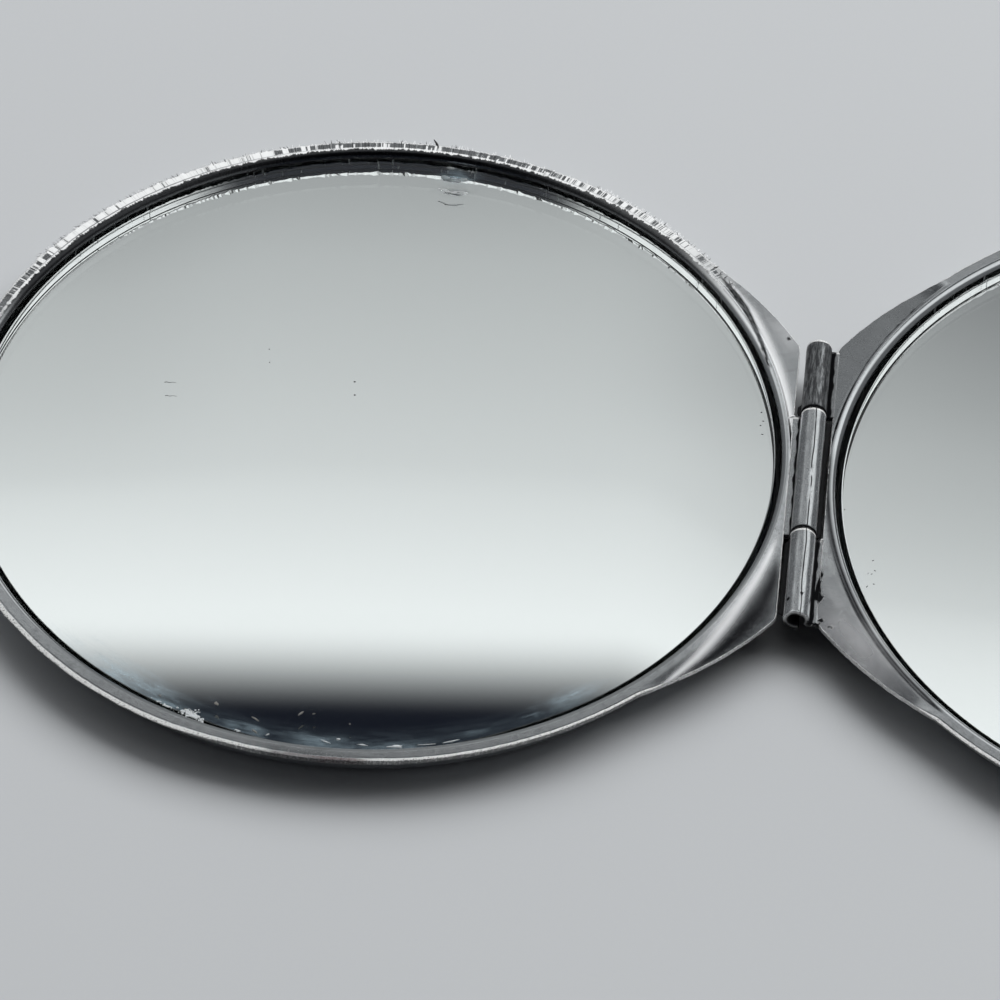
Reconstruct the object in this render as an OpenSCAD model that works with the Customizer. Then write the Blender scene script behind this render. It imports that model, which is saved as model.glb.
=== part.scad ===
// Double compact mirror, shown open flat with both mirrors facing up.
// Two round stamped covers are joined by a three-knuckle rolled hinge.
// X runs across the pair, Y along the hinge pin, Z up from the table.

/* [Cover] */
// Radius of the round cover, to the outside of its rim
rim_r = 32; // [28:0.5:38]
// Thickness of the cover sheet
sheet_t = 0.35; // [0.25:0.05:0.5]
// Width of the flat land round the rim
land_w = 0.74; // [0.6:0.02:1.1]
// Radius of the polished shoulder between the land and the wall
shoulder_r = 0.57; // [0.52:0.01:0.8]
// How far the turned-down edge reaches below the land sheet
lip_extra = 0.15; // [0.05:0.05:0.4]
// Rounding of the rim's outer top edge
edge_r = 0.1; // [0.04:0.02:0.2]
// Radius of the corner between the wall and the back
back_corner_r = 1.2; // [0.8:0.1:1.6]

/* [Ears] */
// Half the length of the straight hinge edge
ear_half = 14; // [12:0.5:16]
// Distance along the hinge from its middle to where an ear leaves the rim
ear_run = 22.5; // [21:0.5:24]
// Radius of the ear's bowed outline
ear_bow_r = 31; // [27:1:40]
// Height of the land above the ear
ear_drop = 0.2; // [0.1:0.02:0.3]
// Width of the bead that stays of the land along the ears
bead_w = 0.25; // [0.1:0.05:0.4]
// Gap between the hinge edge and the other cover's knuckles
edge_gap = 0.5; // [0.35:0.05:0.8]
// Shift of the hinge along the rim from the middle of the covers
hinge_shift = -0.8; // [-1.4:0.1:1.4]

/* [Hinge] */
// Diameter of the hinge pin
pin_d = 1.2; // [0.9:0.05:1.4]
// Running clearance round the pin
pin_clearance = 0.03; // [0.02:0.01:0.08]
// Length of the middle knuckle
middle_knuckle = 12.3; // [10:0.1:14]
// Length of the far knuckle
far_knuckle = 7.1; // [5.5:0.1:8]
// Length of the near knuckle
near_knuckle = 8.4; // [6:0.1:9]
// Gap between neighbouring knuckles
knuckle_gap = 0.12; // [0.08:0.02:0.3]
// Offset of the middle knuckle from the middle of the hinge
middle_offset = 0.42; // [-0.6:0.02:1]
// Open angle left in each rolled curl, in degrees
curl_open = 38; // [24:2:50]
// Height of the pin's axis above the lands, half the gap between closed covers
closing_gap = 0.05; // [0.03:0.01:0.12]
// Clear space between the rim's outside and the pin's axis
rim_to_axis = 0.8; // [0.7:0.05:1.4]
// Depth of the pin's end inside the near knuckle
near_recess = 1; // [0.3:0.1:1.6]
// Depth of the pin's end inside the far knuckle
far_recess = 0.4; // [0.2:0.1:1]

/* [Mirror] */
// Thickness of the mirror glass
glass_t = 1.35; // [1:0.05:2]
// Gap round the glass
glass_gap = 0.44; // [0.2:0.02:0.8]
// Depth of the glass below the land
recess = 0.6; // [0.4:0.05:1]
// Ground bevel round the glass
bevel = 0.12; // [0.05:0.01:0.3]
// Thickness of the silvered coat
silver_t = 0.03; // [0.02:0.01:0.06]
// Thickness of the protective paint
paint_t = 0.05; // [0.03:0.01:0.1]
// Thickness of the adhesive pad
pad_t = 0.5; // [0.3:0.05:1]
// Distance from the pad's edge to the glass edge
pad_margin = 1.5; // [0.5:0.1:4]

/* [Catch] */
// Width of the thumb tab
tab_w = 8; // [5:0.5:12]
// Reach of the thumb tab beyond the rim
tab_reach = 1.6; // [1.4:0.1:2.4]
// Radius of the snap bump's footprint
bump_r = 0.7; // [0.5:0.05:0.8]
// Height of the snap bump
bump_h = 0.4; // [0.25:0.05:0.5]
// Clearance of the snap hole round the bump
hole_clearance = 0.15; // [0.1:0.05:0.3]

/* [Hidden] */
$fn = 96;
// One overrun serves every cut
overrun = 1;
// Radii of the rim's section, from the outside in
crest_r = rim_r - land_w;
wall_in_r = crest_r - shoulder_r;
wall_out_r = wall_in_r + sheet_t;
glass_r = wall_in_r - glass_gap;
pad_r = glass_r - pad_margin;
// Heights from the table up
pad_z = sheet_t;
paint_z = pad_z + pad_t;
silver_z = paint_z + paint_t;
glass_z = silver_z + silver_t;
land_z = glass_z + glass_t + recess;
ear_z = land_z - ear_drop;
axis_z = land_z + closing_gap;
// Hinge places
centre_x = rim_r + rim_to_axis;
bore_r = pin_d / 2 + pin_clearance;
knuckle_r = bore_r + sheet_t;
edge_x = knuckle_r + edge_gap;
middle_top_y = hinge_shift + middle_offset + middle_knuckle / 2;
middle_low_y = middle_top_y - middle_knuckle;
far_top_y = middle_top_y + knuckle_gap + far_knuckle;
near_top_y = middle_low_y - knuckle_gap;
near_low_y = near_top_y - near_knuckle;
pin_top_y = far_top_y - far_recess;
pin_len = pin_top_y - near_low_y - near_recess;
// The curl starts where the underside of the ear meets the outside of the knuckle
curl_start = -asin((closing_gap + ear_drop + sheet_t) / knuckle_r);
curl_root = knuckle_r * cos(curl_start);
curl_sweep = 360 - curl_open;
// The bump is the cap of a ball sunk in the tab, and the hole keeps one sheet of rim outside it
bump_ball_r = (bump_r * bump_r + bump_h * bump_h) / (2 * bump_h);
hole_r = bump_r + hole_clearance;
bump_x = rim_r + tab_reach - sheet_t - hole_r;

// Centre of the circle of radius r that runs from p to q, on the side of the rim's centre
function bow_centre(p, q, r, side) =
    let (mid = (p + q) / 2, along = q - p, half = norm(along) / 2)
    mid + side * sqrt(r * r - half * half) * [along[1], -along[0]] / norm(along);

// A quarter of a ring of sheet, in the quadrant that turn picks
module quarter_bend(r, turn) {
    rotate(turn) intersection() {
        difference() {
            circle(r);
            circle(r - sheet_t);
        }
        square(r);
    }
}

// The rim's section: back, corner, wall, shoulder, land and turned-down edge
module cover_section() {
    corner_r = wall_out_r - back_corner_r;
    square([corner_r, sheet_t]);
    translate([corner_r, back_corner_r]) quarter_bend(back_corner_r, 270);
    translate([wall_in_r, back_corner_r]) square([sheet_t, land_z - shoulder_r - back_corner_r]);
    translate([crest_r, land_z - shoulder_r]) quarter_bend(shoulder_r, 90);
    difference() {
        union() {
            translate([crest_r, land_z - sheet_t]) square([land_w, sheet_t]);
            translate([rim_r - sheet_t, land_z - sheet_t - lip_extra]) square([sheet_t, sheet_t + lip_extra]);
        }
        translate([rim_r - edge_r, land_z - edge_r]) difference() {
            square(edge_r + overrun);
            circle(edge_r);
        }
    }
}

// One bowed side of the ears, a full disc that bounds them at that end of the hinge
module ear_bow(end) {
    leave_y = hinge_shift + end * ear_run;
    leave = [sqrt(rim_r * rim_r - leave_y * leave_y), leave_y];
    corner = [centre_x - edge_x, hinge_shift + end * ear_half];
    translate(bow_centre(leave, corner, ear_bow_r, end)) circle(ear_bow_r);
}

// Flat outline of a cover's two ears, centre of the cover at the origin and hinge towards +X
module ear_outline() {
    difference() {
        intersection() {
            ear_bow(1);
            ear_bow(-1);
            translate([0, -rim_r]) square([centre_x - edge_x, 2 * rim_r]);
        }
        circle(wall_out_r);
    }
}

// Flat outline of the thumb tab, opposite the hinge
module tab_outline() {
    difference() {
        translate([tab_w / 2 - rim_r - tab_reach, 0]) circle(tab_w / 2);
        circle(crest_r);
    }
}

// A cover without its knuckles
module cover_shell() {
    difference() {
        union() {
            rotate_extrude() cover_section();
            translate([0, 0, ear_z - sheet_t]) linear_extrude(sheet_t) ear_outline();
            translate([0, 0, land_z - sheet_t]) linear_extrude(sheet_t) tab_outline();
        }
        // Over the ears the land keeps only its bead, and beside the middle knuckle it stays whole
        translate([0, 0, ear_z]) linear_extrude(ear_drop + overrun) difference() {
            ear_outline();
            circle(crest_r + bead_w);
            translate([0, middle_low_y - knuckle_gap / 2])
                square([rim_r, middle_knuckle + knuckle_gap]);
        }
        translate([centre_x - edge_x, -rim_r, -overrun])
            cube([rim_r, 2 * rim_r, land_z + 2 * overrun]);
    }
}

// A rolled knuckle with the strip of ear that runs into it, from top_y towards -Y
module knuckle(top_y, len) {
    translate([centre_x, top_y, axis_z]) mirror([1, 0, 0]) rotate([90, 0, 0]) rotate([0, 0, curl_start])
        rotate_extrude(angle = curl_sweep) translate([bore_r, 0]) square([sheet_t, len]);
    root_x = crest_r - shoulder_r / 2;
    translate([root_x, top_y - len, ear_z - sheet_t])
        cube([centre_x - curl_root - root_x, len, sheet_t]);
}

// Puts a cover at its side of the hinge: -1 is left and 1 is right
module at_side(side) {
    translate([side * centre_x, 0, 0]) mirror([side > 0 ? 1 : 0, 0, 0]) children();
}

module left_cover() {
    color("silver") at_side(-1) {
        cover_shell();
        knuckle(middle_top_y, middle_knuckle);
        translate([-bump_x, 0, land_z]) intersection() {
            translate([0, 0, bump_h - bump_ball_r]) sphere(bump_ball_r);
            translate([-bump_ball_r, -bump_ball_r, -sheet_t / 2]) cube(2 * bump_ball_r);
        }
    }
}

module right_cover() {
    color("lightgray") at_side(1) {
        difference() {
            cover_shell();
            translate([-bump_x, 0, land_z - sheet_t - lip_extra - overrun])
                cylinder(r = hole_r, h = sheet_t + lip_extra + 2 * overrun);
        }
        knuckle(far_top_y, far_knuckle);
        knuckle(near_top_y, near_knuckle);
    }
}

module hinge_pin() {
    color("dimgray") translate([0, pin_top_y, axis_z]) rotate([90, 0, 0])
        cylinder(d = pin_d, h = pin_len);
}

// A disc of one layer of the mirror
module layer(side, r, z, t) {
    translate([side * centre_x, 0, z]) cylinder(r = r, h = t);
}

// The glass has a small ground bevel on both edges
module mirror_glass(side) {
    translate([side * centre_x, 0, glass_z]) rotate_extrude() polygon([
        [0, 0],
        [glass_r - bevel, 0],
        [glass_r, bevel],
        [glass_r, glass_t - bevel],
        [glass_r - bevel, glass_t],
        [0, glass_t]
    ]);
}

module left_mirror_glass() {
    color("lightblue", 0.5) mirror_glass(-1);
}

module right_mirror_glass() {
    color("lightblue", 0.5) mirror_glass(1);
}

module left_silver_coat() {
    color("white") layer(-1, glass_r - bevel, silver_z, silver_t);
}

module right_silver_coat() {
    color("white") layer(1, glass_r - bevel, silver_z, silver_t);
}

module left_backing_paint() {
    color("slategray") layer(-1, glass_r - bevel, paint_z, paint_t);
}

module right_backing_paint() {
    color("slategray") layer(1, glass_r - bevel, paint_z, paint_t);
}

module left_adhesive_pad() {
    color("ivory") layer(-1, pad_r, pad_z, pad_t);
}

module right_adhesive_pad() {
    color("ivory") layer(1, pad_r, pad_z, pad_t);
}

left_cover();
right_cover();
hinge_pin();
left_mirror_glass();
right_mirror_glass();
left_silver_coat();
right_silver_coat();
left_backing_paint();
right_backing_paint();
left_adhesive_pad();
right_adhesive_pad();
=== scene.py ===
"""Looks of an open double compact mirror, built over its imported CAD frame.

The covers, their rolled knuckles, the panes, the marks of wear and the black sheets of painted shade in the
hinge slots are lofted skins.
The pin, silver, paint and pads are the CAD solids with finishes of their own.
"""
import math
import bpy
import numpy as np
from bpy.props import FloatProperty, FloatVectorProperty, IntProperty, PointerProperty
from mathutils import Matrix, Vector


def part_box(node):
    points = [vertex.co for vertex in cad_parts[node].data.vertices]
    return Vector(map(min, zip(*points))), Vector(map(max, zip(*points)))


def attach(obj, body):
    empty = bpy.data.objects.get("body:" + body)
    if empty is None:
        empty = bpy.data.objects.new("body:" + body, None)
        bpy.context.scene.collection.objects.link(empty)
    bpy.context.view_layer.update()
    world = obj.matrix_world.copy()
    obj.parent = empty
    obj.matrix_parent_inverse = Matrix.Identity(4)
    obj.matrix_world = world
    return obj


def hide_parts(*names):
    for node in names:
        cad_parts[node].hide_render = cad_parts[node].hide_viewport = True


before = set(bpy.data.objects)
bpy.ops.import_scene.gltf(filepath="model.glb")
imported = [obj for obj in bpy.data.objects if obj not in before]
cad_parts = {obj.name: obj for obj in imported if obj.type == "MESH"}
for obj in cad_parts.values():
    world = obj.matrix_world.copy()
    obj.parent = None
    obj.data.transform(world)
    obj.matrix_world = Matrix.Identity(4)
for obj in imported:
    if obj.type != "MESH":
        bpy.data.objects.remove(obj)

bl_info = {
    "name": "Compact Mirror",
    "version": (1, 0, 0),
    "blender": (4, 5, 0),
    "location": "View3D > Sidebar > Compact Mirror",
    "description": "Covers, knuckles, panes and wear of a double compact mirror, with its studio",
    "category": "Object",
}

MM = 0.001
FULL_TURN = 2 * math.pi
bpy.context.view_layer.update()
GLASS_LOW, GLASS_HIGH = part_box("left_mirror_glass")
SILVER_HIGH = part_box("left_silver_coat")[1]
PIN_LOW, PIN_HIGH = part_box("hinge_pin")
COVER_LOW, COVER_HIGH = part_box("left_cover")
CENTRE_X = -(GLASS_LOW.x + GLASS_HIGH.x) / 2
AXIS_Z = (PIN_LOW.z + PIN_HIGH.z) / 2
# Refraction of the glass and of the glue
GLASS_INDEX = 1.52
GLUE_INDEX = 1.3
WHITE = (1.0, 1.0, 1.0)

# The crease is a dark line of painted shade, the gleams and lights are painted highlights, the shadows and
# shades are painted shade.
# Marks of wear and of painted light and shade, in millimetres and degrees. A mark is x, y, half length, half
# width, turn and strength.
# A crease or a trail has an angle on its cover, a radius and a half width at each bend.
# The near edge has an angle, how far in its slope begins and how far out it ends.
# Dark places by the right hinge edge and near knuckle: painted shade that stands in for torn notches in the
# sheet
TORN_NOTCH_SHADE = [
    (1.42, -11.6, 0.2, 1.2, 0, 1.6), (1.62, -12.5, 0.22, 0.35, 0, 1.6), (1.8, -14.6, 0.26, 0.14, -10, 1.6),
    (1.45, -15.0, 0.3, 0.1, 0, 1.5), (2.5, -15.2, 0.16, 0.09, -20, 1.3), (1.6, -10.2, 0.1, 0.3, 0, 1.4),
]
NEAR_PITS = [(0.25, -13.2, 0.13, 0.11, 0, 1.5), (-0.7, -13.6, 0.12, 0.16, 0, 1.5)]
LEFT_WEAR = {
    "scraped_from": (30, 50),
    # How much duller the far and the near ear are: tarnish with painted shade
    "ear_dullness_and_shade": (0.1, 0.1),
    "near_edge": [
        (200, -0.04, 0.46), (240, -0.06, 0.5), (249, -0.02, 0.42), (257, 0.12, 0.14),
        (272, 0.12, 0.1), (284, 0.02, 0.16), (312, 0.0, 0.18),
    ],
    "crease": [
        (21, 31.0, 0.1), (24.6, 31.22, 0.18), (28.6, 31.46, 0.28), (32.1, 31.68, 0.32), (35.1, 31.78, 0.28),
        (38, 31.8, 0.12),
    ],
    "gleams": [
        [(-44, 32.5, 0.12), (-36.5, 32.3, 0.4), (-31, 32.0, 0.5), (-24, 31.74, 0.42), (-18, 31.68, 0.3),
         (-13, 31.64, 0.2)],
        [(8, 31.6, 0.2), (14, 31.62, 0.34), (24, 31.75, 0.4), (31, 31.95, 0.4), (38, 32.0, 0.2)],
        [(20, 31.0, 0.1), (32, 31.05, 0.24), (56, 31.15, 0.28), (70, 31.2, 0.12)],
    ],
    "shadows": [
        [(-39, 32.75, 0.15), (-34.5, 33.1, 0.4), (-30, 33.15, 0.75), (-25, 33.2, 0.95), (-20, 32.85, 0.65),
         (-16, 32.3, 0.25)],
    ],
    "pits": [(-2.4, 14.0, 0.18, 0.2, 0, 1.0)],
    "shades": [(-34.5, -32.0, 5.0, 0.7, 0, 1.0)],
    "lights": [(-2.6, 14.5, 3.0, 1.0, -60, 0.35)],
    "rust": [(-31.6, -31.9, 2.4, 0.35, 0, 0.8), (-33.6, -31.8, 2.6, 0.2, 0, 0.45)],
}
RIGHT_WEAR = {
    "scraped_from": (60, 84),
    # How much duller the far and the near ear are: tarnish with painted shade
    "ear_dullness_and_shade": (0.75, 0.0),
    "near_edge": [(200, -0.04, 0.3), (330, -0.04, 0.3)],
    "crease": [(14, 31.4, 0.07), (19, 31.42, 0.07), (36, 31.6, 0.07)],
    "gleams": [],
    "shadows": [[(-62, 31.2, 0.15), (-50, 31.3, 0.35), (-20, 31.35, 0.35), (4, 31.3, 0.25)]],
    "pits": TORN_NOTCH_SHADE,
    "shades": [],
    "lights": [(4.6, -16.5, 6.5, 2.2, -56, 0.4)],
    "rust": [],
}
LEFT_HAZE = [
    (-48.0, -25.4, 5.0, 1.3, -27, 0.75), (-48.9, -25.2, 2.2, 0.8, -30, 0.9), (-33.4, -30.1, 2.8, 0.65, -2, 1.0),
    (-44.6, -27.7, 2.4, 0.5, -24, 0.8), (-15.6, -23.6, 2.4, 0.8, 36, 0.7), (-18.1, -25.6, 1.0, 0.12, 24, 0.5),
    (-21.5, -27.5, 2.4, 0.14, 18, 0.35), (-38.6, -29.4, 3.0, 0.6, -12, 0.6), (-27.0, -30.0, 5.0, 0.5, 6, 0.55),
    (-29.8, 29.0, 1.3, 0.6, 0, 0.8),
]
RIGHT_HAZE = [(4.2, -9.5, 1.0, 0.5, -60, 0.2)]
# A heap is x, y, length, width, turn, number of grains, their size and a seed.
LEFT_HEAPS = [
    (-42.5, -28.62, 0.9, 0.2, -24, 130, 0.075, 81), (-42.6, -28.3, 0.6, 0.34, 10, 44, 0.06, 82),
    (-44.6, -27.85, 0.9, 0.12, -27, 30, 0.05, 83),
]
# A flake is x, y, half length, half width, height and turn.
LEFT_FLAKES = {
    "light": [
        (-42.4, -28.7, 0.34, 0.12, 0.06, -22), (-44.55, -27.9, 0.26, 0.07, 0.05, -25),
        (-39.1, -29.65, 0.2, 0.09, 0.08, -10), (-31.85, -29.65, 0.17, 0.09, 0.07, 0),
        (-27.7, -29.85, 0.5, 0.12, 0.08, 8), (-30.1, -29.95, 0.4, 0.06, 0.05, 0),
        (-32.7, -29.95, 0.3, 0.05, 0.04, -20), (-36.9, -29.75, 0.15, 0.05, 0.05, 40),
        (-23.7, -28.85, 0.5, 0.05, 0.05, 22), (-25.6, -29.4, 0.8, 0.025, 0.03, 12),
        (-29.5, 28.62, 0.32, 0.06, 0.05, -6), (-30.6, 27.62, 0.36, 0.05, 0.015, -20),
        (-29.9, 27.42, 0.55, 0.07, 0.015, 0), (-29.2, 27.55, 0.3, 0.05, 0.015, 12),
    ],
    "dark": [
        (-34.9, 5.9, 0.08, 0.07, 0.03, 0), (-41.8, 8.6, 0.05, 0.04, 0.02, 20),
        (-3.95, 6.3, 0.06, 0.05, 0.03, 0), (-3.75, 5.4, 0.09, 0.04, 0.03, 0),
    ],
    "glue": [
        (-30.5, 28.9, 0.42, 0.22, 0.14, -15), (-29.85, 28.75, 0.6, 0.26, 0.16, 0),
        (-29.1, 28.88, 0.45, 0.2, 0.13, 8),
    ],
    "grey": [
        (-45.1, -27.0, 0.12, 0.05, 0.03, -25), (-38.0, -28.4, 0.3, 0.07, 0.04, -32),
        (-37.9, -29.55, 0.26, 0.05, 0.04, -35), (-34.8, -27.5, 0.2, 0.07, 0.05, 50),
        (-33.9, -27.45, 0.12, 0.06, 0.05, 20), (-40.95, -27.3, 0.12, 0.18, 0.03, 10),
        (-43.1, -28.05, 0.1, 0.05, 0.04, -30), (-31.2, -28.1, 0.05, 0.05, 0.03, 0),
    ],
}
RIGHT_FLAKES = {
    "light": [(5.0, -9.2, 0.1, 0.04, 0.03, 60)],
    "dark": [
        (5.3, -7.9, 0.07, 0.04, 0.03, 30), (5.5, -8.9, 0.09, 0.03, 0.03, -40), (2.9, -3.0, 0.04, 0.04, 0.03, 0),
    ],
}
LEFT_PANE_HAIR = [(-49.25, 4.15), (-49.1, 4.22), (-48.9, 4.16), (-48.65, 4.24), (-48.35, 4.2)]
# A stretch of hairs is its two ends in degrees and their number. A burr is its turn, length, lean and width.
LEFT_STRETCHES = [(36, 152, 420), (108, 150, 300), (42, 62, 150)]
LEFT_BURRS = [(87.4, 0.66, 0.015, 0.12), (46.5, 0.2, 0.01, 0.05), (109.0, 0.25, 0.01, 0.03)]
RIGHT_STRETCHES = [(66, 152, 240)]
# Stretches round a cover or a pane, in degrees: where each begins, is full, fades and ends.
# Those with two values are a fade or a start alone.
CUTS_FADE = (155, 170)
FUZZY = (104, 122, 146, 160)
DEEP_SCRAPES = (94, 128, 143, 158)
FIRST_SCRAPES = (64, 76)
# Painted shade on the near side of the land
NEAR_LAND_SHADE = (190, 215, 318, 335)
PANE_NEAR = (250, 266, 284, 300)
# How tarnished a knuckle is, where painted shade begins and is deepest in its valley, its pits and its seed
MIDDLE_KNUCKLE_WEAR = {"tarnish": 0.05, "valley_shade": (6.2, 7.2), "pits": [], "seed": 101}
FAR_KNUCKLE_WEAR = {"tarnish": 1.0, "valley_shade": (3.6, 5.0), "pits": [], "seed": 111}
NEAR_KNUCKLE_WEAR = {"tarnish": 0.05, "valley_shade": (4.0, 5.4), "pits": NEAR_PITS + TORN_NOTCH_SHADE, "seed": 121}
# Points on the strip of sheet and round the curl, and the lean of the long scratch in degrees
STRIP_POINTS = 9
CURL_POINTS = 110
SCRATCH_LEAN = 13.0
# The wall of the room ahead: places from low to high and their tones
ROOM_STOPS = [
    (0.0, 0.26), (0.4, 0.3), (0.475, 0.43), (0.51, 0.5), (0.585, 0.59), (0.64, 0.67), (0.66, 0.74), (0.7, 0.84),
    (0.73, 0.91),
]
# The room's soft lamp, in degrees: its turn and height, and how far from its middle the glow starts and is full
LAMP_TURN, LAMP_HEIGHT, LAMP_EDGE, LAMP_CORE = 27, 31, 23, 13
# The large light and the floor, in metres
KEY_PLACE = (0.25, 0.68, 0.77)
KEY_WIDTH, KEY_DEPTH = 1.6, 0.75
FLOOR_Z = -0.00002


# Properties

def length(name, description, default):
    """A size in metres that the user can change."""
    return FloatProperty(name=name, description=description, default=default, unit="LENGTH", precision=5)


def angle(name, description, degrees):
    """An angle that the user can change, from its degrees."""
    return FloatProperty(name=name, description=description, default=math.radians(degrees), subtype="ANGLE")


def colour(name, description, default):
    """A colour that the user can change."""
    return FloatVectorProperty(
        name=name, description=description, default=default, subtype="COLOR", size=3, min=0, max=1)


def share(name, description, default):
    """A factor from 0 to 1."""
    return FloatProperty(name=name, description=description, default=default, min=0, max=1, subtype="FACTOR")


class CoverSizes(bpy.types.PropertyGroup):
    """Sizes of the stamped covers."""
    rim_r: length("Rim radius", "Outside radius of the round cover", COVER_HIGH.y)
    sheet_t: length("Sheet", "Thickness of the cover sheet", 0.35 * MM)
    land_w: length("Land width", "Width of the flat land round the rim", 0.74 * MM)
    shoulder_r: length("Shoulder radius", "Radius of the polished shoulder", 0.57 * MM)
    recess: length("Glass recess", "Depth of the glass below the land", 0.6 * MM)
    lip: length("Edge lip", "Reach of the turned edge below the sheet", 0.15 * MM)
    edge_r: length("Edge rounding", "Rounding of the outer edge", 0.08 * MM)
    draft: length("Edge draft", "Lean of the sheared edge", 0.06 * MM)
    flare: share("Edge flare", "Share of the near edge's slope that is used", 1.0)
    corner_r: length("Back corner", "Radius of the corner at the back", 1.2 * MM)
    ear_half: length("Ear half length", "Half the straight hinge edge", 14 * MM)
    ear_run: length("Ear run", "Where an ear leaves the rim, along the hinge", 22.5 * MM)
    ear_bow_r: length("Ear bow", "Radius of the ear's bowed outline", 31 * MM)
    ear_drop: length("Ear drop", "Height of the land above the ear", 0.2 * MM)
    bead_w: length("Bead width", "Width of the bead along the ears", 0.25 * MM)
    hinge_shift: length("Hinge shift", "Shift of the hinge along the rim", -0.8 * MM)
    edge_x: length("Hinge edge", "Distance of the hinge edge from the pin", 1.48 * MM)
    tab_w: length("Tab width", "Width of the thumb tab", 8 * MM)
    snap_r: length("Snap bump", "Radius of the snap bump's footprint", 0.7 * MM)
    snap_h: length("Snap height", "Height of the snap bump", 0.4 * MM)
    snap_gap: length("Snap clearance", "Clearance of the hole round the bump", 0.15 * MM)
    steps: IntProperty(name="Steps", description="Points round the rim", default=1260, min=360)


class HingeSizes(bpy.types.PropertyGroup):
    """Sizes of the rolled knuckles."""
    outer_r: length("Knuckle radius", "Outside radius of a knuckle", COVER_HIGH.z - AXIS_Z)
    bore_r: length("Bore radius", "Inside radius of a knuckle", 0.63 * MM)
    curl_start: angle("Curl start", "Angle at which the curl begins", -37.8)
    curl_end: angle("Curl end", "Angle at which the curl stops", 284.2)
    middle_top: length("Middle knuckle far end", "Place along the pin", 5.77 * MM)
    middle_low: length("Middle knuckle near end", "Place along the pin", -6.53 * MM)
    far_top: length("Far knuckle far end", "Place along the pin", 12.99 * MM)
    far_low: length("Far knuckle near end", "Place along the pin", 5.89 * MM)
    near_top: length("Near knuckle far end", "Place along the pin", -6.65 * MM)
    near_low: length("Near knuckle near end", "Place along the pin", -15.05 * MM)


class PaneSizes(bpy.types.PropertyGroup):
    """Sizes of the glass panes and what lies on them."""
    radius: length("Pane radius", "Radius of a pane", (GLASS_HIGH.y - GLASS_LOW.y) / 2)
    bevel: length("Bevel", "Least width of the ground bevel", 0.09 * MM)
    chip: length("Chips", "How much the bevel's width varies", 0.32 * MM)
    near_bevel: share("Near bevel", "Width of the near side's bevel, as a share of the far side's", 0.3)
    lead: length("Far reach", "How much further the pane reaches at its far side", 0.24 * MM)
    near_lead: length("Near reach", "How much further the pane reaches at its near side", 0.3 * MM)
    steps: IntProperty(name="Steps", description="Points round a pane", default=1080, min=180)


class Finishes(bpy.types.PropertyGroup):
    """Colours of the finishes."""
    plate: colour("Plating", "Nickel plate on the covers", (0.72, 0.725, 0.74))
    cut_steel: colour("Cut edge", "Bare metal of the cut edges", (0.8, 0.79, 0.78))
    # Colour of deposit in pits, and also of painted shade in creases, under the hinge, in the knuckles' valleys
    # and in their bores
    grime: colour("Grime", "Dark deposit in pits and creases", (0.012, 0.012, 0.014))
    rust: colour("Rust", "Brown stain on the cut edge", (0.1, 0.055, 0.06))
    silver: colour("Silver", "Silver behind the glass", (0.93, 0.945, 0.94))
    glass_edge: colour("Glass edge", "Tint of the glass at its edge", (0.80, 0.93, 0.89))
    ground: colour("Ground glass", "Frosted glass of the bevel", (0.86, 0.9, 0.9))
    haze: colour("Haze", "Bluish film near the pane's edge", (0.46, 0.6, 0.68))
    paint: colour("Backing paint", "Protective paint behind the silver", (0.33, 0.36, 0.4))
    pad: colour("Adhesive pad", "Foam pad below the pane", (0.86, 0.85, 0.8))
    wire: colour("Pin wire", "Drawn steel wire of the pin", (0.3, 0.29, 0.29))


class StudioSizes(bpy.types.PropertyGroup):
    """Camera, floor and light."""
    eye: FloatVectorProperty(
        name="Camera place", description="Where the camera stands", default=(0.000539, -0.281059, 0.300078),
        size=3, subtype="XYZ", unit="LENGTH")
    yaw: angle("Yaw", "Camera's turn from straight ahead", -4.814)
    pitch: angle("Pitch", "Camera's tilt from level", -47.07)
    roll: angle("Roll", "Camera's roll", 1.356)
    lens: FloatProperty(
        name="Focal length", description="In millimetres on a 36 mm sensor", default=196.49, unit="CAMERA")
    floor_colour: colour("Floor", "Pale table top", (0.56, 0.577, 0.592))
    floor_size: length("Floor size", "Width of the floor", 3.0)
    key_power: FloatProperty(
        name="Key light", description="Power of the large soft light", default=15.1, unit="POWER")
    fill: FloatProperty(name="Fill", description="Soft light from beyond the mirror", default=0.62)


# Shader maths

class Field:
    """One output of a node, with the operators of plain maths."""

    def __init__(self, web, socket):
        self.web = web
        self.socket = socket

    def maths(self, operation, *others):
        """A Math node on this value and the others."""
        return self.web.add("ShaderNodeMath", {"operation": operation}, dict(enumerate((self, *others))))

    def turned(self, operation, first):
        """A Math node with this value second."""
        return self.web.add("ShaderNodeMath", {"operation": operation}, {0: first, 1: self})

    def __add__(self, other):
        return self.maths("ADD", other)

    def __radd__(self, other):
        return self.turned("ADD", other)

    def __sub__(self, other):
        return self.maths("SUBTRACT", other)

    def __rsub__(self, other):
        return self.turned("SUBTRACT", other)

    def __mul__(self, other):
        return self.maths("MULTIPLY", other)

    def __rmul__(self, other):
        return self.turned("MULTIPLY", other)

    def __truediv__(self, other):
        return self.maths("DIVIDE", other)

    def __abs__(self):
        return self.maths("ABSOLUTE")

    def up_to(self, most):
        """This value, held down to the most it may be."""
        return self.maths("MINIMUM", most)

    def or_more(self, other):
        """The larger of this value and another."""
        return self.maths("MAXIMUM", other)

    def rise(self, low, high):
        """0 below low, 1 above high, smooth between. Falls where high is below low."""
        low_end, high_end, first, last = (low, high, 0.0, 1.0) if low < high else (high, low, 1.0, 0.0)
        return self.web.add(
            "ShaderNodeMapRange",
            {"interpolation_type": "SMOOTHSTEP"},
            {"Value": self, "From Min": low_end, "From Max": high_end, "To Min": first, "To Max": last},
        )

    def output(self, name):
        """Another output of the same node."""
        return Field(self.web, self.socket.node.outputs[name])


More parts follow.
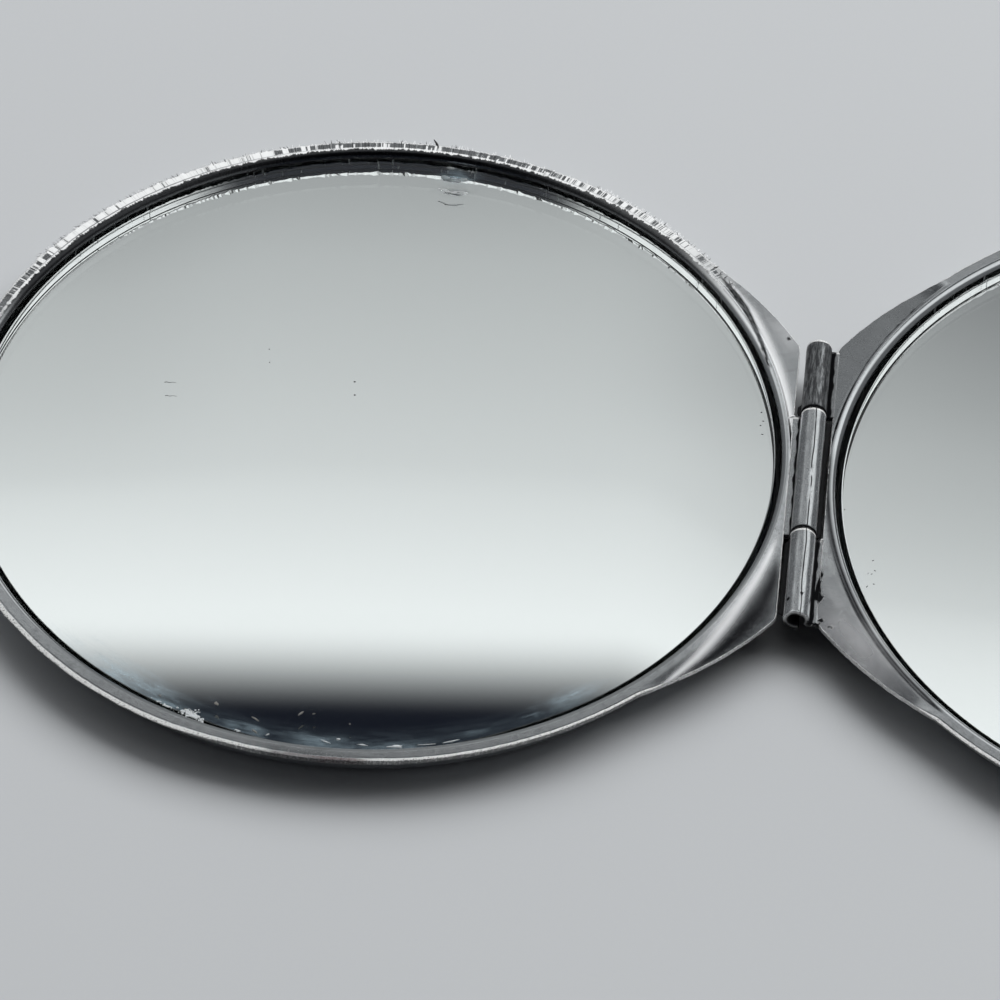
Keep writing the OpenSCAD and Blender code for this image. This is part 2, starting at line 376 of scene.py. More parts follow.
class Web:
    """A node tree that is being built."""

    def __init__(self, tree):
        self.tree = tree
        tree.nodes.clear()

    def add(self, kind, settings=None, inputs=None, out=0):
        """Adds a node: its type, its settings, and the values or links of its sockets."""
        node = self.tree.nodes.new(kind)
        for name, value in (settings or {}).items():
            if name == "stops":
                set_stops(node.color_ramp, value)
            else:
                setattr(node, name, value)
        for name, value in (inputs or {}).items():
            if isinstance(value, Field):
                self.tree.links.new(value.socket, node.inputs[name])
            else:
                node.inputs[name].default_value = value
        return None if out is None else Field(self, node.outputs[out])

    def mix(self, factor, first, second):
        """A colour between two colours."""
        both = {0: factor, 6: opaque(first), 7: opaque(second)}
        return self.add("ShaderNodeMix", {"data_type": "RGBA"}, both, out=2)

    def vector(self, x, y, z=0.0):
        """A vector from three values."""
        return self.add("ShaderNodeCombineXYZ", None, {0: x, 1: y, 2: z})

    def noise(self, place, scale=1.0, detail=2.0, roughness=0.5):
        """Noise from 0 to 1 at a place."""
        inputs = {"Vector": place, "Scale": scale, "Detail": detail, "Roughness": roughness}
        return self.add("ShaderNodeTexNoise", None, inputs)

    def stretched(self, x, y, z=0.0, detail=3.0, roughness=0.6):
        """Noise at a place that has a scale of its own each way."""
        return self.noise(self.vector(x, y, z), 1.0, detail, roughness)

    def value_at(self, name):
        """A value painted on the mesh's points."""
        return self.add("ShaderNodeAttribute", {"attribute_name": name}, out=2)

    def split(self, place):
        """The three parts of a vector."""
        first = self.add("ShaderNodeSeparateXYZ", None, {0: place})
        return first, first.output(1), first.output(2)

    def sheet_place(self):
        """Millimetres along and across a lofted skin."""
        return self.split(self.add("ShaderNodeUVMap", {"uv_map": "skin"}))[:2]

    def object_place(self):
        """The point in millimetres, and its three coordinates."""
        place = self.add("ShaderNodeTexCoord", out=3)
        scaled = self.add("ShaderNodeVectorMath", {"operation": "SCALE"}, {0: place, "Scale": 1 / MM})
        return scaled, self.split(scaled)

    def bump(self, height, distance):
        """A normal from a height in metres."""
        return self.add("ShaderNodeBump", None, {"Height": height, "Distance": distance})

    def body(self, inputs):
        """A Principled shader."""
        return self.add("ShaderNodeBsdfPrincipled", None, inputs)

    def clear_body(self, tint, rough, index, normal=None):
        """A Principled shader that lets light through."""
        inputs = {"Base Color": opaque(tint), "Roughness": rough, "IOR": index, "Transmission Weight": 1.0}
        if normal is not None:
            inputs["Normal"] = normal
        return self.body(inputs)

    def blend(self, factor, first, second):
        """A mix of two shaders."""
        return self.add("ShaderNodeMixShader", None, {0: factor, 1: first, 2: second})

    def finish(self, shader, kind="ShaderNodeOutputMaterial"):
        """Closes the tree with its output node."""
        self.add(kind, None, {"Surface": shader}, out=None)


def set_stops(line, stops):
    """Sets the stops of a ramp. Each is a place and a tone."""
    while len(line.elements) < len(stops):
        line.elements.new(1.0)
    for mark, (place, tone) in zip(line.elements, stops):
        mark.position = place
        mark.color = (tone, tone, tone, 1.0)


def opaque(value):
    """A colour with its alpha, or the field as it is."""
    return value if isinstance(value, Field) else (*value[:3], 1.0)


def darker(colour_value, part):
    """A colour at a part of its brightness."""
    return tuple(part * c for c in colour_value)


def new_web(name):
    """The empty node tree of a new material."""
    material = bpy.data.materials.new(name)
    material.use_nodes = True
    return Web(material.node_tree)


# Finishes

def plated_sheet(looks):
    """Bright nickel plate, scraped white and black across the far rim: the white partly painted glint, the
    black inside the crest painted shade. The ears are duller, with painted shade, and carry painted highlights
    and shadows.
    """
    web = new_web("plated_sheet")
    along, across = web.sheet_place()
    place, _ = web.object_place()
    names = ("band", "cuts", "grime", "dull", "scrape", "gleam", "shadow")
    band, cuts, grime, dull, scrape, gleam, shadow = (web.value_at(name) for name in names)
    broad = web.noise(place, 0.35, 3.0)
    fine = web.stretched(along * 1.1, across * 22.0)
    speckle = web.noise(place, 9.0, 3.0, 0.7)
    tooth = web.stretched(along * 2.4, across * 0.1, roughness=0.75)
    tick = web.stretched(along * 3.0 + across * 0.5, across * 0.6, 3.0, roughness=0.7)
    hair = web.stretched(along * 11.0, across * 0.9, 4.0, 2.0)
    reach = web.stretched(along * 0.8, across * 0.2, 9.0, roughness=0.7)
    # White scrapes across the land, painted bright as glints: along its crest, as ticks and at the outer edge
    crest = (band + tooth * 0.5).rise(0.08, 0.16) * (band - tooth * 0.3 - reach * 0.2).rise(0.0, -0.1)
    crest = crest * reach.rise(0.3, 0.42)
    ticks = (tick + scrape * 0.18).rise(0.54, 0.6) * (band + tick * 0.6).rise(0.1, 0.2)
    ticks = ticks * (band - reach * 2.4 - scrape + 0.5).rise(0.16, 0.0)
    outer = (band + hair * 0.3).rise(0.95, 1.05) * 0.8
    # Black on the far shoulder inside the crest: painted shade
    inner = (band + (tooth - 0.5) * 1.3).rise(-0.04, -0.14)
    white = cuts * crest.or_more(ticks).or_more(outer * reach.rise(0.35, 0.5))
    line = scrape * abs(band - 0.2 + tooth * 0.1).rise(0.09, 0.05)
    white = white * (1.0 - line * 0.8)
    dark_hairs = (1.0 - scrape * 0.6) * hair.rise(0.52, 0.36) * tick.rise(0.56, 0.43) * band.rise(0.02, 0.15)
    black = cuts * dark_hairs.or_more(inner)
    worn = web.noise(place, 3.2, 4.0, 0.7).rise(0.5, 0.68) * (0.18 + dull * 0.05)
    # Deposit in pits, with the painted shade of the crease and of the hinge's underside
    dirt_and_shade = (grime * speckle.rise(0.2, 0.45)).up_to(1.0)
    wear = broad * 0.15 + worn * 0.4 + fine.rise(0.5, 0.66) * 0.2
    metal = web.mix(wear, looks.plate, (0.4, 0.4, 0.41))
    # Duller places, partly painted shade, darken the plate
    metal = web.mix(dull * (0.75 + broad * 0.3), metal, (0.24, 0.245, 0.255))
    metal = web.mix(cuts * 0.75, metal, (0.26, 0.26, 0.27))
    # Painted shadow, then painted highlight, on the ears
    metal = web.mix(shadow * (0.75 + broad * 0.3), metal, (0.03, 0.03, 0.035))
    metal = web.mix(gleam * (0.6 + broad * 0.5), metal, (0.95, 0.96, 0.97))
    metal = web.mix(white, metal, (0.97, 0.98, 0.98))
    # Black hairs, pits and painted shade take the dark deposit colour
    metal = web.mix((black * 0.9 + dirt_and_shade).up_to(1.0), metal, looks.grime)
    rough = 0.07 + broad * 0.06 + fine * 0.05 + worn * 0.4 + dull * 0.14
    rough = rough + white * 0.35 + cuts * 0.15 + dirt_and_shade * 0.4
    height = fine * 0.12 + tick * cuts * 1.6 + hair * cuts * 1.2 + speckle * 0.12
    web.finish(web.body({
        "Base Color": metal,
        "Metallic": 1.0 - (white * 0.85).or_more(gleam * 0.75),
        "Roughness": rough.up_to(0.9),
        "Normal": web.bump(height, 0.012 * MM),
    }))


def cut_edge(looks):
    """Sheared steel at the rim: bright, granular, with rust and dark burrs, and painted shade down the near
    wall.
    """
    web = new_web("cut_edge")
    along, across = web.sheet_place()
    place, _ = web.object_place()
    rust, grime, fringe, dull = (web.value_at(name) for name in ("rust", "grime", "fringe", "dull"))
    # Painted shade on the near edge
    dull = (dull - 0.3).or_more(0.0)
    grain = web.noise(place, 7.0, 3.0, 0.7)
    shear = web.stretched(along * 7.0, across * 1.2, detail=2.0)
    # Ragged dark specks, and painted shade down the near wall
    torn_and_shaded = (fringe + (grain - 0.5) * 2.4 + (shear - 0.5) * 0.8).rise(0.92, 1.06)
    pits = grain.rise(0.44, 0.34).or_more(torn_and_shaded)
    metal = web.mix(grain.rise(0.35, 0.6), looks.cut_steel, (0.97, 0.97, 0.96))
    metal = web.mix(dull, metal, (0.2, 0.2, 0.215))
    metal = web.mix((rust * grain.rise(0.3, 0.55)).up_to(1.0), metal, looks.rust)
    metal = web.mix((pits * 0.7 + grime * grain.rise(0.3, 0.5)).up_to(1.0), metal, looks.grime)
    web.finish(web.body({
        "Base Color": metal,
        "Metallic": 0.5 - rust * 0.4,
        "Roughness": 0.3 + grain * 0.3,
        "Normal": web.bump(grain * 1.2 + shear * 0.8, 0.025 * MM),
    }))


def rolled_sheet(looks):
    """Plate that was rolled round the pin: long scratches, pits, tarnish, and painted shade in its valley, bore
    and underside and at an end.
    """
    web = new_web("rolled_sheet")
    along, across = web.sheet_place()
    place, _ = web.object_place()
    tarnish = web.value_at("tarnish")
    grime = web.value_at("grime")
    streak = web.stretched(along * 0.55, across * 9.0, roughness=0.65)
    scratch = web.stretched(along * 0.9, across * 30.0, 7.0, 2.0)
    patch = web.stretched(along * 0.8, across * 4.5, 2.0, 4.0, 0.65)
    speckle = web.noise(place, 7.5, 3.0, 0.7)
    pits = speckle.rise(0.4, 0.3) * patch.rise(0.42, 0.58)
    # Tarnish alone, with no painted shade, darkens the knuckle here
    dull = (tarnish * (0.5 + patch.rise(0.35, 0.6) * 0.5)).up_to(1.0)
    worn = streak.rise(0.35, 0.7) * 0.2 + speckle.rise(0.45, 0.65) * 0.25
    metal = web.mix(worn, looks.plate, (0.36, 0.36, 0.37))
    metal = web.mix(dull, metal, (0.1, 0.1, 0.105))
    # Pits, scratches and painted shade darken the knuckle
    dirt_and_shade = pits * 0.9 + grime * speckle.rise(0.2, 0.42) + scratch.rise(0.4, 0.3) * (0.35 + tarnish * 0.5)
    dirt_and_shade = dirt_and_shade.up_to(1.0)
    web.finish(web.body({
        "Base Color": web.mix(dirt_and_shade, metal, looks.grime),
        "Metallic": 1.0,
        "Roughness": (0.13 + streak * 0.1 + dull * 0.2 + dirt_and_shade * 0.4).up_to(0.9),
        "Normal": web.bump(streak * 0.16 + scratch * 0.2 + speckle * (1.1 + tarnish) - pits * 2.4, 0.007 * MM),
    }))


def clear_glass(looks):
    """Float glass with a bluish film and dust near the rim."""
    web = new_web("clear_glass")
    place, (x, y, _) = web.object_place()
    haze = web.value_at("haze")
    wipe = web.noise(place, 1.2, 3.0, 0.6)
    grit = web.noise(place, 8.0, 2.0, 0.6)
    from_centre = abs(x) - CENTRE_X / MM
    out = (from_centre * from_centre + y * y).maths("SQRT")
    round_it = y.maths("ARCTAN2", from_centre)
    streak = web.stretched(round_it * 14.0, out * 2.6, 0.0, 4.0, 0.7)
    film = haze * (0.3 + wipe * 0.5) * (0.3 + streak.rise(0.35, 0.65) * 0.7)
    film = (film + haze * haze * grit.rise(0.58, 0.68) * 0.5).up_to(1.0)
    glass = web.clear_body(WHITE, 0.0, GLASS_INDEX)
    dust = web.body({"Base Color": opaque(looks.haze), "Roughness": 0.8})
    web.finish(web.blend(film, glass, dust))


def ground_glass(looks):
    """The ground, chipped bevel: rough clear glass that looks white where light comes through it."""
    web = new_web("ground_glass")
    place, _ = web.object_place()
    haze = web.value_at("haze")
    grain = web.noise(place, 5.0, 3.0, 0.7)
    clear = web.clear_body(WHITE, 0.2, GLASS_INDEX, web.bump(grain, 0.015 * MM))
    frost = web.body({"Base Color": opaque(looks.ground), "Roughness": 0.7})
    chips = (grain.rise(0.64, 0.7) * 0.3 + haze * 0.6).up_to(1.0)
    web.finish(web.blend(chips, clear, frost))


def glass_wall(looks):
    """The pane's edge: tinted, nearly polished, with frosted ticks where it is chipped."""
    web = new_web("glass_wall")
    along, across = web.sheet_place()
    _, (_, y, _) = web.object_place()
    tick = web.stretched(along * 2.6, across * 0.25, roughness=0.7)
    wave = web.stretched(along * 0.8, across * 3.0, 0.0, 2.0, 0.5)
    clear = web.clear_body(looks.glass_edge, 0.06 + wave * 0.2, GLASS_INDEX, web.bump(wave, 0.006 * MM))
    frost = web.body({"Base Color": opaque(looks.ground), "Roughness": 0.6})
    web.finish(web.blend(tick.rise(0.62, 0.68) * y.rise(10.0, 22.0), clear, frost))


def mirror_silver(looks):
    """Silver seen through the glass."""
    web = new_web("mirror_silver")
    place, _ = web.object_place()
    spot = web.noise(place, 0.6, 2.0, 0.5)
    tone = web.mix(spot * 0.1, looks.silver, (0.89, 0.91, 0.91))
    web.finish(web.body({"Base Color": tone, "Metallic": 1.0, "Roughness": 0.012}))


def coated(name, base, deeper, scale, rough, depth):
    """A matte layer with a soft mottle: the paint or the pad."""
    web = new_web(name)
    place, _ = web.object_place()
    cloud = web.noise(place, scale, 4.0, 0.6)
    web.finish(web.body({
        "Base Color": web.mix(cloud, base, deeper),
        "Roughness": rough + cloud * 0.15,
        "Normal": web.bump(cloud, depth),
    }))


def drawn_wire(looks):
    """Dull steel wire with drawing lines along it."""
    web = new_web("drawn_wire")
    _, (x, y, z) = web.object_place()
    lines = web.stretched(x * 14.0, y * 0.6, z * 14.0)
    web.finish(web.body({
        "Base Color": web.mix(lines, looks.wire, (0.12, 0.1, 0.1)),
        "Metallic": 1.0,
        "Roughness": 0.35 + lines * 0.3,
        "Normal": web.bump(lines, 0.01 * MM),
    }))


def clear_glue():
    """A blob of milky glue that lets light through."""
    web = new_web("clear_glue")
    place, _ = web.object_place()
    grain = web.noise(place, 4.0, 3.0, 0.6)
    clear = web.clear_body((0.97, 0.97, 0.97), 0.45 + grain * 0.4, GLUE_INDEX, web.bump(grain, 0.03 * MM))
    milk = web.add("ShaderNodeBsdfTranslucent", None, {"Color": (0.95, 0.96, 0.97, 1.0)})
    web.finish(web.blend(grain.rise(0.3, 0.7) * 0.7, clear, milk))


def plain_grit(name, base, rough, through=0.0):
    """A crumb of dust, glue or burr, and the share of light that it lets through."""
    web = new_web(name)
    place, _ = web.object_place()
    grain = web.noise(place, 6.0, 3.0, 0.6)
    crumb = web.body({
        "Base Color": web.mix(grain * 0.5, base, darker(base, 0.7)),
        "Roughness": rough,
        "Normal": web.bump(grain, 0.02 * MM),
    })
    glow = web.add("ShaderNodeBsdfTranslucent", None, {"Color": opaque(base)})
    web.finish(web.blend(through, crumb, glow))


# Irregularity and lofting

def smooth(step):
    """A step from 0 to 1 with level ends."""
    return step * step * (3 - 2 * step)


def rise(value, low, high):
    """0 below low, 1 above high, smooth between."""
    return smooth(np.clip((value - low) / (high - low), 0, 1))


def between(value, start, full, fading, end):
    """1 from full to fading, 0 before start and after end, smooth between."""
    return rise(value, start, full) * (1 - rise(value, fading, end))


def round_turn(steps):
    """Angles at even steps once round."""
    return np.linspace(0, FULL_TURN, steps, endpoint=False)


def path_length(a, b):
    """Millimetres run along a line of points, from its first."""
    return np.r_[0, np.cumsum(np.hypot(np.diff(a), np.diff(b)))] / MM


def ripple(turns, knots, seed):
    """Smooth random values from -1 to 1 along a closed line, turns running from 0 to 1."""
    values = np.random.default_rng(seed).uniform(-1, 1, knots)
    place = np.mod(turns, 1.0) * knots
    first = place.astype(int) % knots
    step = smooth(place - np.floor(place))
    return values[first] * (1 - step) + values[(first + 1) % knots] * step


def mottle(a, b, seed, cells=64):
    """Smooth random values from -1 to 1 over two coordinates."""
    values = np.random.default_rng(seed).uniform(-1, 1, (cells, cells))
    ia, ib = np.floor(a).astype(int), np.floor(b).astype(int)
    fa, fb = smooth(a - ia), smooth(b - ib)
    ia, ib, next_a, next_b = ia % cells, ib % cells, (ia + 1) % cells, (ib + 1) % cells
    low = values[ia, ib] * (1 - fa) + values[next_a, ib] * fa
    high = values[ia, next_b] * (1 - fa) + values[next_a, next_b] * fa
    return low * (1 - fb) + high * fb


def blots(x, y, marks, seed, soft=False):
    """How much of the marks lies at each place, with a firm or a soft edge. All is in millimetres."""
    total = np.zeros(np.broadcast(x, y).shape)
    for k, (mx, my, long, wide, turn, strength) in enumerate(marks):
        c, s = math.cos(math.radians(turn)), math.sin(math.radians(turn))
        a = ((x - mx) * c + (y - my) * s) / long
        b = ((y - my) * c - (x - mx) * s) / wide
        ragged = 1 + 0.35 * mottle(a * 3 + k, b * 3 + k, seed + k)
        reach = np.hypot(a, b) * ragged
        total = np.maximum(total, strength * (np.exp(-1.4 * reach ** 2) if soft else rise(-reach, -1.15, -0.7)))
    return total


def trails(degrees, radii, lines):
    """How much of soft lines lies at each place."""
    total = np.zeros(radii.shape)
    signed = (degrees + 180) % 360 - 180
    for line in lines:
        at, line_r, half = np.array(line).T
        off = np.abs(radii / MM - np.interp(signed, at, line_r)[:, None]) / np.interp(signed, at, half)[:, None]
        ends = between(signed, at[0] - 2, at[0] + 3, at[-1] - 3, at[-1] + 2)
        total = np.maximum(total, np.exp(-off ** 2) * ends[:, None])
    return total


class Skin:
    """Lofted skins that become one mesh, with a map in millimetres and painted point values."""

    def __init__(self):
        self.points, self.faces, self.places, self.slots = [], [], [], []
        self.values = {}
        self.count = 0
        self.shape = (0, 0)

    def loft(self, grid, along, across, slots, closed_rows=False, closed_columns=False, flip=False, **values):
        """Adds a grid of points (rows, columns, 3).

        along has a value for each row, across for each column, and one more where it closes.
        """
        rows, columns = grid.shape[:2]
        i, j = np.meshgrid(
            np.arange(rows if closed_rows else rows - 1),
            np.arange(columns if closed_columns else columns - 1),
            indexing="ij",
        )
        i, j = i.ravel(), j.ravel()
        corner = [(i, j), (i, j + 1), (i + 1, j + 1), (i + 1, j)]
        if flip:
            corner.reverse()
        face = np.stack([self.count + (a % rows) * columns + (b % columns) for a, b in corner], -1)
        place = np.stack([np.stack([along[a], across[b]], -1) for a, b in corner], 1)
        self.points.append(grid.reshape(-1, 3))
        self.faces += face.tolist()
        self.places.append(place.reshape(-1, 2))
        self.slots.append(np.broadcast_to(np.asarray(slots), (columns,))[j])
        for name, value in values.items():
            spread = np.broadcast_to(value, (rows, columns)).ravel()
            self.values.setdefault(name, []).append((self.count, spread))
        self.count += rows * columns
        self.shape = (rows, columns)

    def face(self, ring, slot, backwards=False):
        """Adds one face over points that are there."""
        ring = list(ring)[::-1] if backwards else list(ring)
        self.faces.append(ring)
        self.places.append((np.concatenate(self.points)[ring] / MM)[:, :2])
        self.slots.append(np.array([slot]))

    def close(self, column, slot=0, backwards=False):
        """Closes the first (0) or the last (-1) column of the latest loft with one face."""
        rows, columns = self.shape
        first = self.count - rows * columns + column % columns
        self.face(range(first, self.count, columns), slot, backwards)

    def build(self, name, finishes, smooth_faces=True):
        """Makes the object with its finishes."""
        points = np.concatenate(self.points)
        mesh = bpy.data.meshes.new(name)
        mesh.from_pydata(points.tolist(), [], self.faces)
        layer = mesh.uv_layers.new(name="skin")
        layer.data.foreach_set("uv", np.concatenate(self.places).astype(np.float32).ravel())
        mesh.polygons.foreach_set("material_index", np.concatenate(self.slots).astype(np.int32))
        mesh.polygons.foreach_set("use_smooth", np.full(len(self.faces), smooth_faces))
        for key, parts in self.values.items():
            value = np.zeros(len(points), np.float32)
            for first, part in parts:
                value[first:first + len(part)] = part
            mesh.attributes.new(key, "FLOAT", "POINT").data.foreach_set("value", value)
        for finish in finishes:
            mesh.materials.append(bpy.data.materials[finish])
        mesh.validate()
        piece = bpy.data.objects.new(name, mesh)
        bpy.context.scene.collection.objects.link(piece)
        return piece


# Covers

class CoverForm:
    """A cover's section at every angle, in its own frame: centre at the origin, hinge towards +X."""

    def __init__(self, sizes, side, near_edge):
        self.s = sizes
        self.side = side
        self.near_edge = near_edge
        self.turn = round_turn(sizes.steps)
        self.towards, self.aside = np.cos(self.turn), np.sin(self.turn)
        self.degrees = np.degrees(self.turn)
        self.turns = self.turn / FULL_TURN
        self.land_z = GLASS_HIGH.z + sizes.recess
        self.crest_r = sizes.rim_r - sizes.land_w
        self.wall_in = self.crest_r - sizes.shoulder_r
        self.wall_out = self.wall_in + sizes.sheet_t
        self.edge_x = CENTRE_X - sizes.edge_x
        self.tab_end = -CENTRE_X - COVER_LOW.x
        self.outline()

    def bow(self, end):
        """How far the ear's bowed outline lies from the cover's centre, in every direction."""
        s = self.s
        leave_y = s.hinge_shift + end * s.ear_run
        leave = np.array([math.sqrt(s.rim_r ** 2 - leave_y ** 2), leave_y])
        corner = np.array([self.edge_x, s.hinge_shift + end * s.ear_half])
        middle, run = (leave + corner) / 2, corner - leave
        half = np.linalg.norm(run) / 2
        inward = np.array([run[1], -run[0]])
        centre = middle + end * math.sqrt(s.ear_bow_r ** 2 - half ** 2) * inward / (2 * half)
        ahead = centre[0] * self.towards + centre[1] * self.aside
        return ahead + np.sqrt(np.maximum(ahead ** 2 - centre @ centre + s.ear_bow_r ** 2, 0))

    def outline(self):
        """The outline's radius, and where it is ear or tab."""
        s, towards = self.s, self.towards
        rim = np.full_like(self.turn, s.rim_r)
        ear = np.minimum(self.bow(1), self.bow(-1))
        hinge_edge = np.where(towards > 0.1, self.edge_x / np.maximum(towards, 0.1), 1.0)
        self.ear = np.where(towards > 0, rise(ear - s.rim_r, 0.0, 0.6 * MM), 0.0)
        tab_x = s.tab_w / 2 - self.tab_end
        ahead = tab_x * towards
        inside = ahead ** 2 - tab_x ** 2 + (s.tab_w / 2) ** 2
        tab = np.where((inside > 0) & (towards < 0), ahead + np.sqrt(np.maximum(inside, 0)), 0)
        self.tab = rise(tab - s.rim_r, 0.0, 0.15 * MM)
        out = np.minimum(np.maximum.reduce([rim, np.where(towards > 0, ear, 0), tab]), hinge_edge)
        soft = np.convolve(np.r_[out[-3:], out, out[:3]], [0.05, 0.12, 0.2, 0.26, 0.2, 0.12, 0.05], "valid")
        self.out = soft + 0.012 * MM * ripple(self.turns, 420, 3 + self.side) * (1 - 0.6 * self.tab)

    def fall(self, r):
        """How far the top lies below the land, over the ears."""
        s = self.s
        towards_far = rise(self.aside, -0.15, 0.15)
        crease = towards_far if self.side < 0 else 0.3 + 0.7 * towards_far
        sharp = rise(r - self.crest_r, 0.02 * MM, s.bead_w + 0.04 * MM)
        reach = math.hypot(self.edge_x, s.ear_half) - self.crest_r
        gentle = np.clip((r - self.crest_r - 0.45 * MM) / reach, 0, 1.2) ** 1.25
        bowed = 0.16 * np.clip((r - self.crest_r) / reach, 0, 1.2) ** 2
        return s.ear_drop * self.ear * (crease * (sharp + bowed) + (1 - crease) * gentle * 1.2)

    def section(self):
        """Radii and heights (steps, columns) from the inside floor round to the back.

        Also gives each column's slot and its name.
        """
        s = self.s
        radii, heights, slots, names = [], [], [], []

        def column(r, z, slot, name):
            radii.append(np.broadcast_to(r, self.turn.shape))
            heights.append(np.broadcast_to(z, self.turn.shape))
            slots.append(slot)
            names.append(name)

        def arc(cr, cz, radius, start, end, steps, name):
            for a in np.radians(np.linspace(start, end, steps)):
                column(cr + radius * math.cos(a), cz + radius * math.sin(a), 0, name)

        foot_r = self.wall_out - s.corner_r
        shoulder_z = self.land_z - s.shoulder_r
        half_wall = (s.corner_r + shoulder_z) / 2
        for part in (0.3, 0.8, 0.99):
            column(part * foot_r, s.sheet_t, 0, "floor")
        arc(foot_r, s.corner_r, s.corner_r - s.sheet_t, 270, 360, 6, "wall")
        column(self.wall_in, half_wall, 0, "wall")
        arc(self.crest_r, shoulder_z, s.shoulder_r, 180, 90, 15, "shoulder")
        # The land out to its last point, then the rounded and sheared edge with the near side's slope
        room = np.maximum(self.out - self.crest_r, 0.05 * MM)
        near = rise(-self.aside, 0.0, 0.4)
        draft = np.minimum(s.draft * near * (1 - self.ear), room * 0.3)
        edge = np.minimum(s.edge_r * (1 - 0.4 * self.ear), room * 0.3)
        plain = near * (1 - self.ear)
        at, inward, outward = np.array(self.near_edge).T
        uneven = 0.88 + 0.12 * ripple(self.turns, 90, 17)
        flare = s.flare * MM * np.interp(self.degrees, at, outward) * plain * uneven
        inset = s.flare * MM * np.interp(self.degrees, at, inward) * plain
        slope = flare + inset
        drop = edge * (1 - 0.75 * plain)
        last = self.out - edge - draft - inset
        for part in np.r_[0.02, 0.05, np.linspace(0.09, 1, 20)]:
            r = self.crest_r + part * (last - self.crest_r)
            column(r, self.land_z - self.fall(r), 0, "land")
        top = self.land_z - self.fall(last)
        for a in np.radians([80, 60, 40, 20]):
            reach = math.cos(a) / math.cos(math.radians(20))
            high = top - drop * (1 - math.sin(a)) - 0.3 * slope * reach
            column(last + edge * math.cos(a) + slope * reach, high, 1, "edge")
        low = top - s.sheet_t - s.lip * (1 - np.maximum(self.ear, self.tab))
        high = top - drop - 0.34 * slope
        for part in (0.04, 0.25, 0.5, 0.75, 0.95):
            r = self.out + flare * (1 - part) - draft * (1 - part) ** 1.5
            column(r, high + part * (low - high), 1, "edge")
        column(self.out - 0.25 * edge, low, 1, "edge")
        inner = np.maximum(self.out - s.sheet_t, self.crest_r + 0.01 * MM)
        column(inner, low, 0, "under")
        for part in np.linspace(0.98, 0, 5):
            r = self.crest_r + part * (inner - self.crest_r)
            column(r, self.land_z - self.fall(r) - s.sheet_t, 0, "under")
        arc(self.crest_r, shoulder_z, s.shoulder_r - s.sheet_t, 105, 180, 3, "under")
        column(self.wall_out, half_wall, 0, "side")
        arc(foot_r, s.corner_r, s.corner_r, 0, -90, 8, "side")
        for part in (0.985, 0.8, 0.3):
            column(part * foot_r, 0.0, 0, "back")
        return np.stack(radii, 1), np.stack(heights, 1), slots, np.array(names)


def cover_paint(form, names, radii, x, y, rough, far, wear):
    """What is painted on a cover's points: cuts, pits, rust, scrapes, duller places, painted shade in the
    crease, under the hinge and on the near land, and painted highlights and shadows.
    """
    sizes, degrees = form.s, form.degrees
    ear = form.ear[:, None]
    edge = names == "edge"
    top_side = np.isin(names, ["land", "edge", "shoulder"])[None, :]
    room = (form.out - form.crest_r)[:, None]
    band = np.where(top_side, (radii - form.crest_r) / np.minimum(room, sizes.land_w), -2.0)
    cuts = far[:, None] * np.isin(names, ["land", "edge"])[None, :]
    cuts = np.maximum(cuts, far[:, None] * (names == "shoulder")[None, :] * rise(band, -0.8, -0.6))
    scrape = np.maximum(between(degrees, *DEEP_SCRAPES), 0.45 * (1 - rise(degrees, *FIRST_SCRAPES)))[:, None]
    # Painted shade along the crease between the rim and the ear
    at, line_r, half = np.array(wear["crease"]).T
    line_r, half = np.interp(degrees, at, line_r)[:, None], np.interp(degrees, at, half)[:, None]
    crease_shade = 1 - rise(np.abs(radii / MM - line_r + 0.04 * rough), 0.5 * half, 1.2 * half)
    crease_shade = crease_shade * between(degrees, at[0] - 2, at[0], at[-1], at[-1] + 2)[:, None] * top_side
    spots = blots(x / MM, y / MM, wear["pits"], 51) * top_side
    # Painted shade on the underside and the side of the cover near the hinge
    hinge_underside_shade = rise(form.towards, 0.75, 0.95)[:, None] * np.isin(names, ["under", "side"])[None, :]
    plate = rise(radii, form.crest_r + 0.2 * MM, form.crest_r + 0.45 * MM) * ear * top_side
    # Duller ears with painted shade, painted shade on the near side of the land, and painted shade at the
    # shades marks
    dull = plate * np.where(form.aside > 0, *wear["ear_dullness_and_shade"])[:, None]
    dull = dull + 0.2 * between(degrees, *NEAR_LAND_SHADE)[:, None]
    dull = dull + blots(x / MM, y / MM, wear["shades"], 61, soft=True)
    # Painted highlights: the gleams and the lights
    bright = np.maximum(
        trails(degrees, radii, wear["gleams"]) * 0.9,
        blots(x / MM, y / MM, wear["lights"], 66, soft=True) * ear,
    )
    # Ragged dark specks at the near edge's outer side, and painted shade down its wall
    fringe = np.interp(np.arange(len(names)), np.flatnonzero(edge)[:5], [0.2, 0.45, 0.74, 0.96, 1.1])
    return {
        "band": band,
        "cuts": cuts,
        "grime": np.maximum.reduce([spots, crease_shade * (0.85 + 0.3 * rough), hinge_underside_shade * 0.95]),
        "rust": blots(x / MM, y / MM, wear["rust"], 71),
        "dull": np.clip(dull, 0, 1) * top_side,
        "scrape": scrape,
        "fringe": fringe * edge * rise(-form.aside, 0.0, 0.4)[:, None] * (1 - ear),
        "gleam": (1 - np.clip(crease_shade, 0, 1)) * bright * top_side,
        "shadow": trails(degrees, radii, wear["shadows"]) * top_side * ear,
    }


